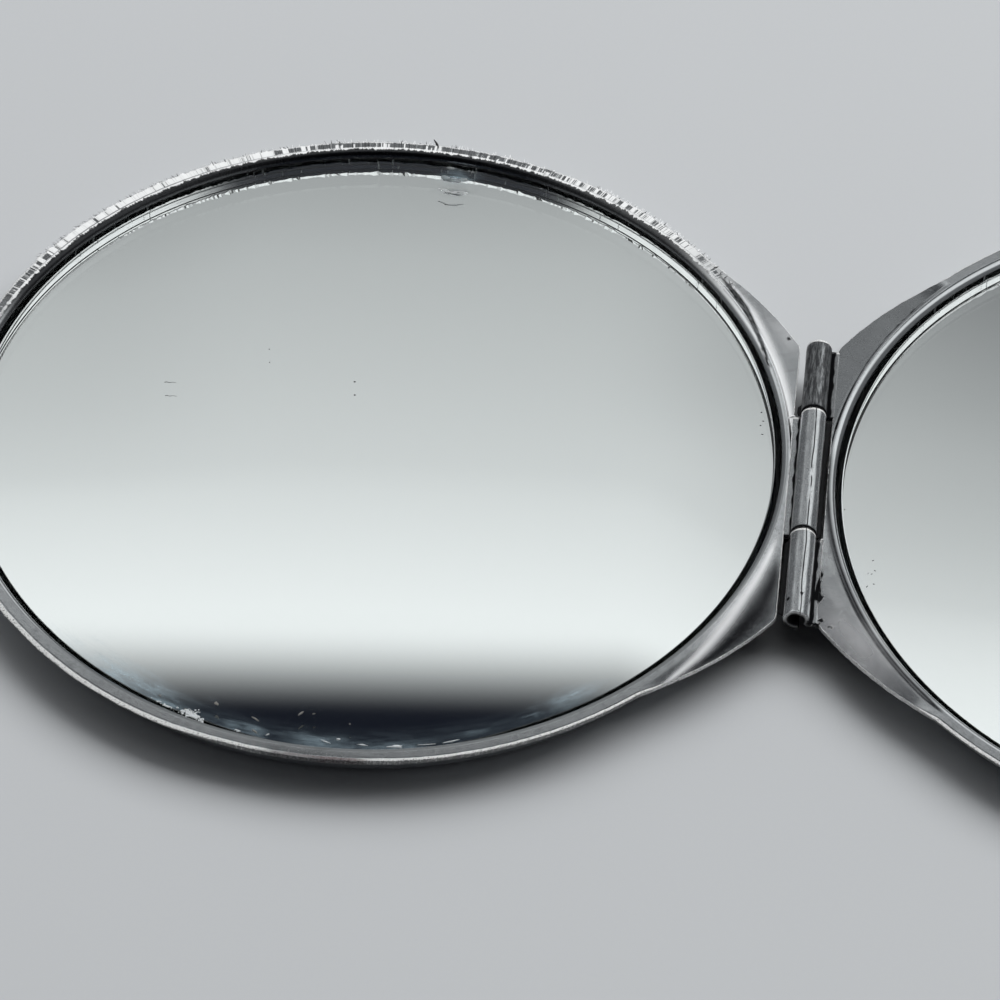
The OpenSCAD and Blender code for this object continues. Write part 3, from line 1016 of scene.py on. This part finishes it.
def cover_shell(name, side, rides, node, wear):
    """One stamped cover without its knuckles: -1 is the left and 1 the right."""
    sizes = bpy.context.scene.compact_cover
    form = CoverForm(sizes, side, wear["near_edge"])
    radii, heights, slots, names = form.section()
    far = between(form.degrees, *wear["scraped_from"], *CUTS_FADE)
    edge = names == "edge"
    land = (names == "land") | edge
    rim_run = form.turn[:, None] * sizes.rim_r / MM
    rough = mottle(rim_run * 3.1, np.arange(len(names))[None, :] * 0.9, 11 + side)
    fuzz = between(form.degrees, *FUZZY)
    burr = np.maximum(ripple(form.turns, 630, 21 + side), 0) ** 2 * far * (0.08 + 0.2 * fuzz) + 0.02
    radii = radii + edge[None, :] * MM * (0.02 * rough + burr[:, None])
    cut_z = ripple(form.turns, 900, 31 + side) * far * (1 - form.ear) * 0.012 * MM
    heights = heights + land[None, :] * cut_z[:, None]
    x = side * (CENTRE_X - radii * form.towards[:, None])
    y = radii * form.aside[:, None]
    skin = Skin()
    skin.loft(
        np.stack([x, y, heights], -1), np.r_[form.turn, FULL_TURN] * sizes.rim_r / MM,
        path_length(radii[0], heights[0]), slots, closed_rows=True, flip=side > 0,
        **cover_paint(form, names, radii, x, y, rough, far, wear),
    )
    skin.close(0, backwards=side > 0)
    skin.close(-1, backwards=side < 0)
    snap_x = CENTRE_X + form.tab_end - sizes.sheet_t - sizes.snap_r - sizes.snap_gap
    snap_place = Vector((side * snap_x, 0, form.land_z))
    if side < 0:
        snap_bump(skin, snap_place, sizes)
    piece = skin.build(name, ["plated_sheet", "cut_edge"])
    if side > 0:
        snap_hole(piece, snap_place, sizes)
    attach(piece, rides)
    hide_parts(node)


def snap_bump(skin, place, sizes):
    """The dome pressed up from the left tab, sunk a little into it."""
    turn = round_turn(72)
    dome = np.linspace(0.15, 1, 14)[:-1]
    lift = np.r_[-0.3, 0.0, 0.06, dome, 0.999]
    radii = sizes.snap_r * np.r_[1.12, 1.1, 1.02, np.sqrt(1 - dome ** 2), 0.03]
    grid = np.stack([
        place.x + np.outer(np.cos(turn), radii),
        place.y + np.outer(np.sin(turn), radii),
        np.broadcast_to(place.z + sizes.snap_h * lift, (len(turn), len(lift))),
    ], -1)
    climb = np.r_[0, np.cumsum(np.abs(np.diff(lift)))]
    skin.loft(grid, np.r_[turn, FULL_TURN], climb, 0, closed_rows=True, flip=True)
    skin.close(-1)
    skin.close(0, backwards=True)


def snap_hole(piece, place, sizes):
    """Cuts the hole that the bump snaps into."""
    sides, radius = 64, sizes.snap_r + sizes.snap_gap
    ring = [(place.x + radius * math.cos(a), place.y + radius * math.sin(a)) for a in round_turn(sides)]
    points = [(x, y, z) for z in (place.z - 1.1 * MM, place.z + 0.3 * MM) for x, y in ring]
    faces = [(k, (k + 1) % sides, sides + (k + 1) % sides, sides + k) for k in range(sides)]
    faces += [tuple(range(sides - 1, -1, -1)), tuple(range(sides, 2 * sides))]
    mesh = bpy.data.meshes.new("snap_punch")
    mesh.from_pydata(points, [], faces)
    mesh.materials.append(bpy.data.materials["plated_sheet"])
    mesh.materials.append(bpy.data.materials["cut_edge"])
    mesh.polygons.foreach_set("material_index", np.ones(len(faces), np.int32))
    punch = bpy.data.objects.new("snap_punch", mesh)
    bpy.context.scene.collection.objects.link(punch)
    cut = piece.modifiers.new("snap", "BOOLEAN")
    cut.operation, cut.object, cut.solver = "DIFFERENCE", punch, "EXACT"
    bpy.context.view_layer.update()
    shaped = bpy.data.meshes.new_from_object(piece.evaluated_get(bpy.context.evaluated_depsgraph_get()))
    piece.modifiers.clear()
    piece.data = shaped
    bpy.data.objects.remove(punch)


# Knuckles

def knuckle_section(hinge, cover):
    """The outer and the inner line of a knuckle, each from the strip of sheet round its curl."""
    strip_top = GLASS_HIGH.z + cover.recess - cover.ear_drop - AXIS_Z
    strip_low = strip_top - cover.sheet_t
    valley = math.asin(strip_top / hinge.outer_r)
    strip_in = cover.edge_x + 0.12 * MM
    sweep = np.linspace(0, 1, CURL_POINTS) ** 0.97
    outer_turn = valley + 0.1 + sweep * (hinge.curl_end - valley - 0.1)
    inner_turn = hinge.curl_start + 0.12 + sweep * (hinge.curl_end - hinge.curl_start - 0.12)
    over = np.linspace(strip_in, hinge.outer_r * math.cos(valley) + 0.05 * MM, STRIP_POINTS)
    over_z = np.full(STRIP_POINTS, strip_top)
    over_z[0] -= 0.03 * MM
    under = np.linspace(strip_in, hinge.outer_r * math.cos(hinge.curl_start) + 0.04 * MM, STRIP_POINTS)
    under_z = np.full(STRIP_POINTS, strip_low)
    lines = []
    for x, z, radius, turn in (
        (over, over_z, hinge.outer_r, outer_turn), (under, under_z, hinge.bore_r, inner_turn),
    ):
        lines.append(np.stack([np.r_[x, radius * np.cos(turn)], np.r_[z, radius * np.sin(turn)]], -1))
    return lines


def knuckle_grime_and_shade(grid, row_y, down, total, shaded_end, wear):
    """Marks on a knuckle: pits and the long scratch, and painted shade in the valley, below, in the bore and at
    an end.

    down is how far each row lies from the far end, and total is the whole length, in millimetres.
    """
    seed = wear["seed"]
    x, y, z = (grid[..., k] for k in range(3))
    at = np.arange(grid.shape[1])[None, :]
    lean = np.degrees(np.arctan2(x, z - AXIS_Z))
    wander = 4.0 * mottle(y / MM * 0.5, np.zeros_like(lean), seed + 11)
    broken = rise(mottle(y / MM * 1.1, np.full_like(lean, 3.0), seed + 12), -0.8, -0.3)
    near_line = np.clip(1 - np.abs(lean - SCRATCH_LEAN - wander) / 3.6, 0, 1)
    scratch = 1.5 * (wear["tarnish"] < 0.5) * near_line * broken
    reach = at - 1.1 * mottle(row_y[:, None] / MM * 1.4, np.zeros(at.shape), seed + 14)
    # Painted shade in the valley where the strip meets the curl
    valley = np.interp(reach, [*wear["valley_shade"], 12, 20], [0.1, 1.6, 1.4, 0])
    # Painted shade on the curl's underside
    below = np.interp(at[0], [78, 88, 110, 119], [0, 1.2, 1.5, 1.5])[None, :]
    # Painted shade at the end that meets the next knuckle
    end = 1.2 * shaded_end * rise(down, total - 0.2, total - 0.1)[:, None]
    pits = blots(x / MM, y / MM, wear["pits"], seed + 9)
    grime = np.maximum.reduce(np.broadcast_arrays(pits, scratch, valley, below, end))
    # The bore is all painted shade
    return np.where(at < STRIP_POINTS + CURL_POINTS, grime, 0.75)


def knuckle(name, side, top, low, rides, node, wear):
    """One rolled knuckle and the strip of sheet that runs into it."""
    hinge = bpy.context.scene.compact_hinge
    outer, inner = knuckle_section(hinge, bpy.context.scene.compact_cover)
    middle = (outer + inner) / 2
    total = top - low
    slices = max(24, int(total / (0.14 * MM)))
    ends = np.r_[0, 0.03, 0.08, 0.15, 0.24] * MM / total
    y_share = np.r_[ends, np.linspace(0.3 * MM / total, 1 - 0.3 * MM / total, slices), 1 - ends[::-1]]
    chamfer = np.r_[0.34, 0.17, 0.08, 0.03, 0.01, np.zeros(slices), 0.0, 0.0, 0.03, 0.1, 0.24][:, None, None]
    angle_round = np.unwrap(np.arctan2(outer[:, 1], outer[:, 0]))
    y = top - y_share * total
    dent = mottle(y[:, None] / MM * 0.9, angle_round[None, :] * 1.6, wear["seed"]) * 0.012 * MM
    curl = (np.arange(len(outer)) >= STRIP_POINTS)[None, :]
    radial = outer / np.maximum(np.hypot(*outer.T), 1e-9)[:, None]
    out_grid = middle[None] + (outer - middle)[None] * (1 - chamfer) + radial[None] * (dent * curl)[..., None]
    in_grid = middle[None] + (inner - middle)[None] * (1 - chamfer)
    ragged = 0.05 * MM * mottle(angle_round * 2.2, np.zeros_like(angle_round), wear["seed"] + 5)
    end_pull = rise(y_share, 0.93, 1.0) - rise(-y_share, -0.07, 0.0) * 0.6
    y_grid = y[:, None] + end_pull[:, None] * np.where(curl, ragged[None, :], 0)
    loop = np.concatenate([out_grid, in_grid[:, ::-1]], 1)
    y_loop = np.concatenate([y_grid, y_grid[:, ::-1]], 1)
    grid = np.stack([side * loop[..., 0], y_loop, AXIS_Z + loop[..., 1]], -1)
    rows, columns = grid.shape[:2]
    run = path_length(*outer.T)
    across = np.r_[run, run[-1] + 0.3 + np.cumsum(np.r_[0, np.diff(run)[::-1]]), run[-1] * 2 + 0.6]
    down = y_share * total / MM
    grime = knuckle_grime_and_shade(grid, y, down, total / MM, low > hinge.near_low, wear)
    tarnish = wear["tarnish"] * np.interp(np.arange(columns), [4, 8], [0.5, 1.0])[None, :]
    skin = Skin()
    skin.loft(grid, -y / MM, across, 0, closed_columns=True, flip=side < 0, tarnish=tarnish, grime=grime)
    # The first slices at the far end are cut metal, like both end faces
    skin.slots[-1] = np.repeat(np.arange(rows - 1) < 4, columns)
    for row, turned in ((0, side < 0), (rows - 1, side > 0)):
        first = row * columns
        for k in range(len(outer) - 1):
            ring = [first + k, first + k + 1, first + columns - 2 - k, first + columns - 1 - k]
            skin.face(ring, 1, backwards=not turned)
    piece = skin.build(name, ["rolled_sheet", "cut_edge"])
    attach(piece, rides)
    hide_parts(node)


def slot_shade_sheet(name, reach, top, low, rides, seed):
    """A black sheet of painted shade in the slot beside a knuckle. reach is where it ends, on the left when
    negative.
    """
    root, start = 0.8 * MM, 0.85 * MM
    y = np.arange(top, low, -0.2 * MM)
    sign = math.copysign(1.0, reach)
    ends = rise((top - y) / MM, -0.1, 0.5) * rise((y - low) / MM, -0.1, 0.3)
    far = start + (abs(reach) + 0.05 * MM * mottle(y / MM * 1.7, np.zeros_like(y), seed) - start) * ends
    high = AXIS_Z - 0.4 * MM + 0.03 * MM * mottle(y / MM * 2.3, np.zeros_like(y), seed + 1)
    near = np.full_like(y, root)
    section = [
        (near, high), ((root + far) / 2, high + 0.02 * MM), (far, high - 0.04 * MM),
        (far - 0.04 * MM, high - 0.12 * MM), (near, high - 0.12 * MM),
    ]
    sides = len(section)
    grid = np.stack([np.stack([sign * x, y, z], -1) for x, z in section], 1)
    skin = Skin()
    skin.loft(grid, y / MM, np.arange(sides + 1) / sides, 0, closed_columns=True, flip=sign > 0)
    for row, turned in ((0, sign > 0), (len(y) - 1, sign < 0)):
        skin.face(range(row * sides, (row + 1) * sides), 0, backwards=not turned)
    piece = skin.build(name, ["black_dirt"])
    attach(piece, rides)


# Panes

def pane(name, side, rides, node, haze_marks):
    """A glass pane: clear face, chipped bevels and tinted wall, open below where the silver closes it."""
    sizes = bpy.context.scene.compact_pane
    turn = round_turn(sizes.steps)
    turns, degrees, aside = turn / FULL_TURN, np.degrees(turn), np.sin(turn)
    top, low = GLASS_HIGH.z, SILVER_HIGH.z
    jag = 0.6 * np.abs(ripple(turns, 540, 5 + side)) ** 1.5
    jag = jag + 0.5 * np.maximum(ripple(turns, 330, 8 + side), 0) ** 3
    jag = jag * np.maximum(rise(aside, 0.6, 0.9), 0.4 * rise(-aside, 0.5, 0.8))
    near = between(degrees, *PANE_NEAR)
    edge = sizes.radius + sizes.lead * rise(aside, 0.1, 0.75) + sizes.near_lead * near
    bevel = sizes.near_bevel + (1 - sizes.near_bevel) * rise(aside, -0.5, 0.2)
    bevel = (sizes.bevel + sizes.chip * jag) * bevel
    chips = 0.22 * MM * rise(ripple(turns, 420, 14 + side), 0.45, 0.95) * rise(aside, 0.6, 0.9)
    shoulder = top - 1.1 * bevel - chips
    # Columns are radius, height and slot, from the middle of the face out and down the wall
    columns = [(r, top, 0) for r in np.r_[0.3, 0.6, 0.8, np.linspace(0.86, 0.98, 24)] * sizes.radius]
    columns += [(edge - bevel - 0.02 * MM, top, 0), (edge - bevel, top, 1), (edge, shoulder, 2)]
    for part in (0.03, 0.3, 0.6, 0.97):
        columns.append((edge, shoulder - part * (shoulder - low - 0.03 * MM), 2))
    columns += [(np.maximum(edge, sizes.radius + 0.01 * MM), low, 3), (sizes.radius, low, 3)]
    radii, heights = (np.stack([np.broadcast_to(c[k], turn.shape) for c in columns], 1) for k in (0, 1))
    x = side * CENTRE_X + radii * np.cos(turn)[:, None]
    y = radii * aside[:, None]
    film = 0.12 * rise(radii, sizes.radius - 2.2 * MM, sizes.radius) * rise(-aside, 0.7, 0.95)[:, None]
    haze = np.maximum(blots(x / MM, y / MM, haze_marks, 91, soft=True), film) * (heights > low + 0.5 * MM)
    skin = Skin()
    skin.loft(
        np.stack([x, y, heights], -1), np.r_[turn, FULL_TURN] * sizes.radius / MM,
        path_length(radii[0], heights[0]), [c[2] for c in columns], closed_rows=True, haze=haze,
    )
    skin.close(0)
    piece = skin.build(name, ["clear_glass", "ground_glass", "glass_wall", "mirror_silver"], smooth_faces=False)
    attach(piece, rides)
    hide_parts(node)


# Crumbs, flakes and burrs

def lump(skin, place, long, wide, tall, turn, seed, slot=0):
    """A low crumb lying on what is below it."""
    around, up = 18, 7
    a = round_turn(around)
    b = np.radians(np.linspace(-14, 84, up))
    ragged = 1 + 0.42 * ripple(a / FULL_TURN, 8, seed)[:, None]
    ragged = ragged + 0.2 * mottle(a[:, None] * 2, b[None, :] * 4, seed + 1)
    flat = np.cos(b)[None, :] * ragged
    c, s = math.cos(math.radians(turn)), math.sin(math.radians(turn))
    x, y = long * flat * np.cos(a)[:, None], wide * flat * np.sin(a)[:, None]
    z = np.broadcast_to(tall * np.sin(b)[None, :], x.shape)
    grid = np.stack([place[0] + c * x - s * y, place[1] + s * x + c * y, place[2] + z], -1) * MM
    skin.loft(grid, np.arange(around + 1) / 10, np.arange(up) / 10, slot, closed_rows=True, flip=True)
    skin.close(-1, slot)
    skin.close(0, slot, backwards=True)


def spike(skin, points, widths, slot=0):
    """A hair or burr along a line of points, in millimetres."""
    line = np.asarray(points, float)
    a = round_turn(5)
    ahead = line[-1] - line[0]
    across = np.cross(ahead, (0, 0, 1.0))
    across = across / np.linalg.norm(across)
    up = np.cross(across, ahead / np.linalg.norm(ahead))
    rings = np.cos(a)[:, None] * across + np.sin(a)[:, None] * up
    grid = (line[None, :, :] + rings[:, None, :] * np.asarray(widths)[None, :, None]) * MM
    skin.loft(grid, np.arange(len(a) + 1) / 10, np.arange(len(line)) / 10, slot, closed_rows=True)
    skin.close(0, slot)
    skin.close(-1, slot, backwards=True)


def heap(x, y, long, wide, turn, number, size, seed):
    """Grains that lie in a heap, as flakes."""
    rng = np.random.default_rng(seed)
    c, s = math.cos(math.radians(turn)), math.sin(math.radians(turn))
    grains = []
    for _ in range(number):
        a, b, grain = 0.5 * long * rng.normal(), 0.5 * wide * rng.normal(), size * rng.uniform(0.5, 1.5)
        shape = (grain, grain * rng.uniform(0.5, 1.0), grain * 0.6, rng.uniform(-90, 90))
        grains.append((x + c * a - s * b, y + s * a + c * b, *shape))
    return grains


def crumbs(name, rides, flakes, heaps=(), hairs=()):
    """Flakes of dust, chips and glue on a pane, and hairs."""
    skin = Skin()
    top = GLASS_HIGH.z / MM
    grains = [grain for each in heaps for grain in heap(*each)]
    for slot, kind in enumerate(("light", "dark", "glue", "grey")):
        rows = (grains if kind == "light" else []) + flakes.get(kind, [])
        for k, (x, y, long, wide, tall, turn) in enumerate(rows):
            lump(skin, (x, y, top), long, wide, tall, turn, 300 + 10 * k + slot, slot)
    for hair in hairs:
        spike(skin, [(x, y, top + 0.02) for x, y in hair], np.linspace(0.03, 0.012, len(hair)), 1)
    piece = skin.build(name, ["white_crumb", "dark_crumb", "clear_glue", "grey_crumb"])
    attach(piece, rides)


def rim_hairs(name, side, rides, stretches, burrs=()):
    """Fine hairs of metal along the far edge, and the larger burrs."""
    sizes = bpy.context.scene.compact_cover
    rng = np.random.default_rng(40 + side)
    skin = Skin()
    rim = sizes.rim_r / MM
    height = (GLASS_HIGH.z + sizes.recess) / MM
    centre = side * CENTRE_X / MM

    def at(r, turn, z):
        return (centre - side * r * math.cos(turn), r * math.sin(turn), z)

    turns = [rng.uniform(first, last) for first, last, number in stretches for _ in range(number)]
    for turn in np.radians(turns):
        reach, lean, low = rng.uniform(0.05, 0.42), rng.normal(0.003, 0.005), rng.uniform(0.02, 0.25)
        wide = rng.uniform(0.016, 0.04)
        start = at(rim - 0.12, turn, height - low)
        end = at(rim + reach, turn + lean, min(height - low + rng.uniform(-0.04, 0.1), height))
        middle = tuple((a + b) / 2 for a, b in zip(start, end))
        slot = 1 if rng.uniform() < 0.15 else 0
        spike(skin, [start, middle, end], [wide, wide * 0.9, wide * 0.25], slot)
    for degrees, reach, lean, wide in burrs:
        turn = math.radians(degrees)
        line = [
            at(rim - 0.45, turn, height - 0.12),
            at(rim - 0.1, turn + lean * 0.1, height - 0.1),
            at(rim + reach * 0.5, turn + lean * 0.5, height - 0.08),
            at(rim + reach, turn + lean, height - 0.04),
        ]
        spike(skin, line, [wide, wide * 1.1, wide * 0.8, wide * 0.3], 1)
    piece = skin.build(name, ["bright_hair", "dark_crumb"])
    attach(piece, rides)


# Operators

class COMPACT_OT_finishes(bpy.types.Operator):
    """Make the finishes and put them on the solids that stay"""
    bl_idname = "compact.finishes"
    bl_label = "Finishes"

    def execute(self, context):
        looks = context.scene.compact_finishes
        for make in (
            plated_sheet, cut_edge, rolled_sheet, clear_glass, ground_glass, glass_wall, mirror_silver,
            drawn_wire,
        ):
            make(looks)
        clear_glue()
        coated("backing_paint", looks.paint, darker(looks.paint, 0.8), 2.0, 0.6, 0.01 * MM)
        coated("foam_pad", looks.pad, darker(looks.pad, 0.85), 4.0, 0.8, 0.04 * MM)
        plain_grit("white_crumb", (0.92, 0.94, 0.95), 0.6, 0.5)
        plain_grit("dark_crumb", (0.03, 0.03, 0.03), 0.6)
        plain_grit("grey_crumb", (0.4, 0.39, 0.37), 0.6, 0.5)
        plain_grit("bright_hair", (0.92, 0.93, 0.94), 0.5)
        # Black of the sheets of painted shade in the hinge slots
        plain_grit("black_dirt", (0.01, 0.01, 0.011), 0.9)
        worn = {"hinge_pin": "drawn_wire"}
        for side in ("left_", "right_"):
            worn[side + "silver_coat"] = "mirror_silver"
            worn[side + "backing_paint"] = "backing_paint"
            worn[side + "adhesive_pad"] = "foam_pad"
        for node, finish in worn.items():
            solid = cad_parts[node]
            solid.data.materials.clear()
            solid.data.materials.append(bpy.data.materials[finish])
        return {"FINISHED"}


class COMPACT_OT_covers(bpy.types.Operator):
    """Build the two stamped covers"""
    bl_idname = "compact.covers"
    bl_label = "Covers"

    def execute(self, context):
        cover_shell("left_cover_shell", -1, "left_half", "left_cover", LEFT_WEAR)
        cover_shell("right_cover_shell", 1, "right_half", "right_cover", RIGHT_WEAR)
        return {"FINISHED"}


class COMPACT_OT_knuckles(bpy.types.Operator):
    """Roll the three knuckles of the hinge"""
    bl_idname = "compact.knuckles"
    bl_label = "Knuckles"

    def execute(self, context):
        hinge = context.scene.compact_hinge
        for name, side, top, low, rides, node, wear in (
            ("left_middle_knuckle", -1, hinge.middle_top, hinge.middle_low, "left_half", "left_cover",
             MIDDLE_KNUCKLE_WEAR),
            ("right_far_knuckle", 1, hinge.far_top, hinge.far_low, "right_half", "right_cover",
             FAR_KNUCKLE_WEAR),
            ("right_near_knuckle", 1, hinge.near_top, hinge.near_low, "right_half", "right_cover",
             NEAR_KNUCKLE_WEAR),
        ):
            knuckle(name, side, top, low, rides, node, wear)
        return {"FINISHED"}


class COMPACT_OT_panes(bpy.types.Operator):
    """Cut the two glass panes"""
    bl_idname = "compact.panes"
    bl_label = "Panes"

    def execute(self, context):
        pane("left_pane", -1, "left_half", "left_mirror_glass", LEFT_HAZE)
        pane("right_pane", 1, "right_half", "right_mirror_glass", RIGHT_HAZE)
        return {"FINISHED"}


class COMPACT_OT_wear(bpy.types.Operator):
    """Lay the dust, glue, chips and burrs"""
    bl_idname = "compact.wear"
    bl_label = "Wear"

    def execute(self, context):
        crumbs("left_pane_crumbs", "left_half", LEFT_FLAKES, LEFT_HEAPS, [LEFT_PANE_HAIR])
        crumbs("right_pane_crumbs", "right_half", RIGHT_FLAKES)
        for name, rides, place, long in (
            ("left_hinge_burr", "left_half", (-1.62, 5.75, 2.62), 0.2),
            ("right_hinge_burr", "right_half", (1.5, -6.6, 2.62), 0.18),
        ):
            burr = Skin()
            lump(burr, place, long, 0.12, 0.14, 20, 501)
            bright = burr.build(name, ["bright_hair"])
            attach(bright, rides)
        hinge = context.scene.compact_hinge
        # Black sheets of painted shade in the slots beside the knuckles
        for name, reach, top, low, rides, seed in (
            ("middle_slot_shade", 1.34 * MM, hinge.middle_top, hinge.middle_low, "left_half", 601),
            ("near_slot_shade", -1.34 * MM, hinge.near_top, hinge.near_low + 0.6 * MM, "right_half", 611),
            ("far_slot_shade", -1.3 * MM, hinge.far_low + 1.5 * MM, hinge.far_low, "right_half", 621),
        ):
            slot_shade_sheet(name, reach, top - 0.05 * MM, low + 0.05 * MM, rides, seed)
        rim_hairs("left_rim_hairs", -1, "left_half", LEFT_STRETCHES, LEFT_BURRS)
        rim_hairs("right_rim_hairs", 1, "right_half", RIGHT_STRETCHES)
        return {"FINISHED"}


class COMPACT_OT_studio(bpy.types.Operator):
    """Set up the floor, the light and the camera"""
    bl_idname = "compact.studio"
    bl_label = "Studio"

    def execute(self, context):
        studio = context.scene.compact_studio
        floor(studio)
        room_light(studio)
        key_light(studio)
        camera(studio)
        context.scene.view_settings.view_transform = "Standard"
        return {"FINISHED"}


# Studio

def floor(studio):
    """A plain pale table top."""
    half, across = studio.floor_size / 2, 9
    mesh = bpy.data.meshes.new("floor")
    steps = np.linspace(-half, half, across)
    points = [(x, y, FLOOR_Z) for y in steps for x in steps]
    corners = [r * across + c for r in range(across - 1) for c in range(across - 1)]
    mesh.from_pydata(points, [], [(k, k + 1, k + across + 1, k + across) for k in corners])
    table = bpy.data.objects.new("floor", mesh)
    bpy.context.scene.collection.objects.link(table)
    web = new_web("pale_table")
    place, _ = web.object_place()
    cloud = web.noise(place, 0.02, 2.0, 0.5)
    grain = web.noise(place, 2.5, 2.0, 0.5)
    tone = web.mix(cloud * 0.6 + grain * 0.3, studio.floor_colour, darker(studio.floor_colour, 0.95))
    web.finish(web.body({"Base Color": tone, "Roughness": 0.7}))
    mesh.materials.append(bpy.data.materials["pale_table"])


def room_light(studio):
    """Even fill for the surfaces, and the bright and dark parts of the room for what is polished."""
    world = bpy.data.worlds.new("room")
    world.use_nodes = True
    bpy.context.scene.world = world
    web = Web(world.node_tree)
    towards = web.add("ShaderNodeTexCoord", out=0)
    x, y, z = web.split(towards)
    camera_ray = web.add("ShaderNodeLightPath")
    glossy_ray = camera_ray.output("Is Glossy Ray")
    through_ray = camera_ray.output("Is Transmission Ray")

    # The wall ahead darkens downwards, and tilts and steps a little across the view
    tilt = z - (x + 0.06) * 0.02 - x.rise(-0.035, 0.012) * (0.019 - z.rise(0.725, 0.752) * 0.011)
    tilt = tilt - x.rise(-0.1, -0.135) * z.rise(0.735, 0.715) * 0.006
    ahead = web.add("ShaderNodeValToRGB", {"stops": ROOM_STOPS}, {0: (tilt - 0.6) / 0.2})
    ahead = ahead * (1.0 - x.rise(-0.03, 0.075) * z.rise(0.75, 0.69) * 0.34)
    ahead = ahead * (1.0 - x.rise(-0.045, -0.014) * x.rise(0.015, -0.005) * z.rise(0.728, 0.714) * 0.11)
    side = abs(x).rise(0.3, 0.6)
    wall = z.rise(0.4, 0.7) * 0.8 + 0.14
    # A dark band above the wall, dark behind the viewer, and light from the ceiling and one soft lamp
    bend = (x + 0.083).or_more(-0.05).up_to(0.05)
    shade = (tilt + bend * bend * 0.4).rise(0.7482, 0.7589) * z.rise(0.945, 0.86) * abs(x).rise(0.5, 0.22)
    behind = y.rise(-0.02, -0.2) * abs(x).rise(0.68, 0.52)
    shine = (ahead * (1.0 - side) + wall * side).or_more(z.rise(0.84, 0.93) * 0.95)
    turn, height = math.radians(LAMP_TURN), math.radians(LAMP_HEIGHT)
    centre = (math.sin(turn) * math.cos(height), math.cos(turn) * math.cos(height), math.sin(height))
    lamp = web.add("ShaderNodeVectorMath", {"operation": "DOT_PRODUCT"}, {0: towards, 1: centre}, out=1)
    lamp = lamp.rise(math.cos(math.radians(LAMP_EDGE)), math.cos(math.radians(LAMP_CORE)))
    shine = (shine + lamp * 0.9).up_to(0.97) * (1.0 - shade.or_more(behind))
    room_colour = web.mix(shine, (0.008, 0.010, 0.016), (0.955, 1.0, 1.0))
    room = web.add("ShaderNodeBackground", None, {"Color": room_colour, "Strength": 1.0})
    open_sky = web.mix((y + z * 0.22).rise(-0.2, 0.75), (0.03, 0.03, 0.033), (0.97, 0.985, 1.0))
    even = web.add("ShaderNodeBackground", None, {"Color": open_sky, "Strength": studio.fill})
    open_view = web.add("ShaderNodeBackground", None, {"Color": (0.8, 0.82, 0.84, 1.0), "Strength": 1.0})
    lit = web.blend((glossy_ray + through_ray).up_to(1.0), even, room)
    web.finish(web.blend(camera_ray, lit, open_view), "ShaderNodeOutputWorld")


def key_light(studio):
    """A large soft light beyond the mirror, a little to the right."""
    light = bpy.data.lights.new("key", "AREA")
    light.shape = "RECTANGLE"
    light.size, light.size_y = KEY_WIDTH, KEY_DEPTH
    light.energy = studio.key_power
    lamp = bpy.data.objects.new("key", light)
    lamp.location = KEY_PLACE
    lamp.rotation_euler = (Vector((0, 0, 0)) - lamp.location).to_track_quat("-Z", "Y").to_euler()
    lamp.visible_glossy = False
    lamp.visible_transmission = False
    lamp.visible_camera = False
    bpy.context.scene.collection.objects.link(lamp)


def camera(studio):
    """The camera of the photograph."""
    lens = bpy.data.cameras.new("camera")
    lens.lens = studio.lens
    lens.sensor_width = 36.0
    lens.clip_start, lens.clip_end = 0.01, 20.0
    eye = bpy.data.objects.new("camera", lens)
    yaw, pitch, roll = studio.yaw, studio.pitch, studio.roll
    ahead = Vector((math.sin(yaw) * math.cos(pitch), math.cos(yaw) * math.cos(pitch), math.sin(pitch)))
    right = Vector((math.cos(yaw), -math.sin(yaw), 0))
    up = right.cross(ahead)
    across = math.cos(roll) * right + math.sin(roll) * up
    upright = math.cos(roll) * up - math.sin(roll) * right
    turned = Matrix((across, upright, -ahead)).transposed().to_4x4()
    eye.matrix_world = Matrix.Translation(Vector(studio.eye)) @ turned
    bpy.context.scene.collection.objects.link(eye)
    bpy.context.scene.camera = eye


class COMPACT_PT_panel(bpy.types.Panel):
    """Sizes, colours and steps of the mirror"""
    bl_label = "Compact Mirror"
    bl_idname = "COMPACT_PT_panel"
    bl_space_type = "VIEW_3D"
    bl_region_type = "UI"
    bl_category = "Compact Mirror"

    def draw(self, context):
        for step in STEPS:
            self.layout.operator(step.bl_idname)
        for name in GROUPS:
            group = getattr(context.scene, name)
            box = self.layout.box()
            for key in group.__annotations__:
                box.prop(group, key)


STEPS = (
    COMPACT_OT_finishes, COMPACT_OT_covers, COMPACT_OT_knuckles, COMPACT_OT_panes, COMPACT_OT_wear,
    COMPACT_OT_studio,
)
GROUPS = {
    "compact_cover": CoverSizes,
    "compact_hinge": HingeSizes,
    "compact_pane": PaneSizes,
    "compact_finishes": Finishes,
    "compact_studio": StudioSizes,
}


def register():
    """Adds the classes and the settings to Blender."""
    for each in (*GROUPS.values(), *STEPS, COMPACT_PT_panel):
        bpy.utils.register_class(each)
    for name, group in GROUPS.items():
        setattr(bpy.types.Scene, name, PointerProperty(type=group))


def unregister():
    """Takes them out again."""
    for name in GROUPS:
        delattr(bpy.types.Scene, name)
    for each in (COMPACT_PT_panel, *reversed(STEPS), *reversed(tuple(GROUPS.values()))):
        bpy.utils.unregister_class(each)


def main():
    """Builds the whole scene."""
    register()
    bpy.ops.compact.finishes()
    bpy.ops.compact.covers()
    bpy.ops.compact.knuckles()
    bpy.ops.compact.panes()
    bpy.ops.compact.wear()
    bpy.ops.compact.studio()


if __name__ == "__main__":
    main()
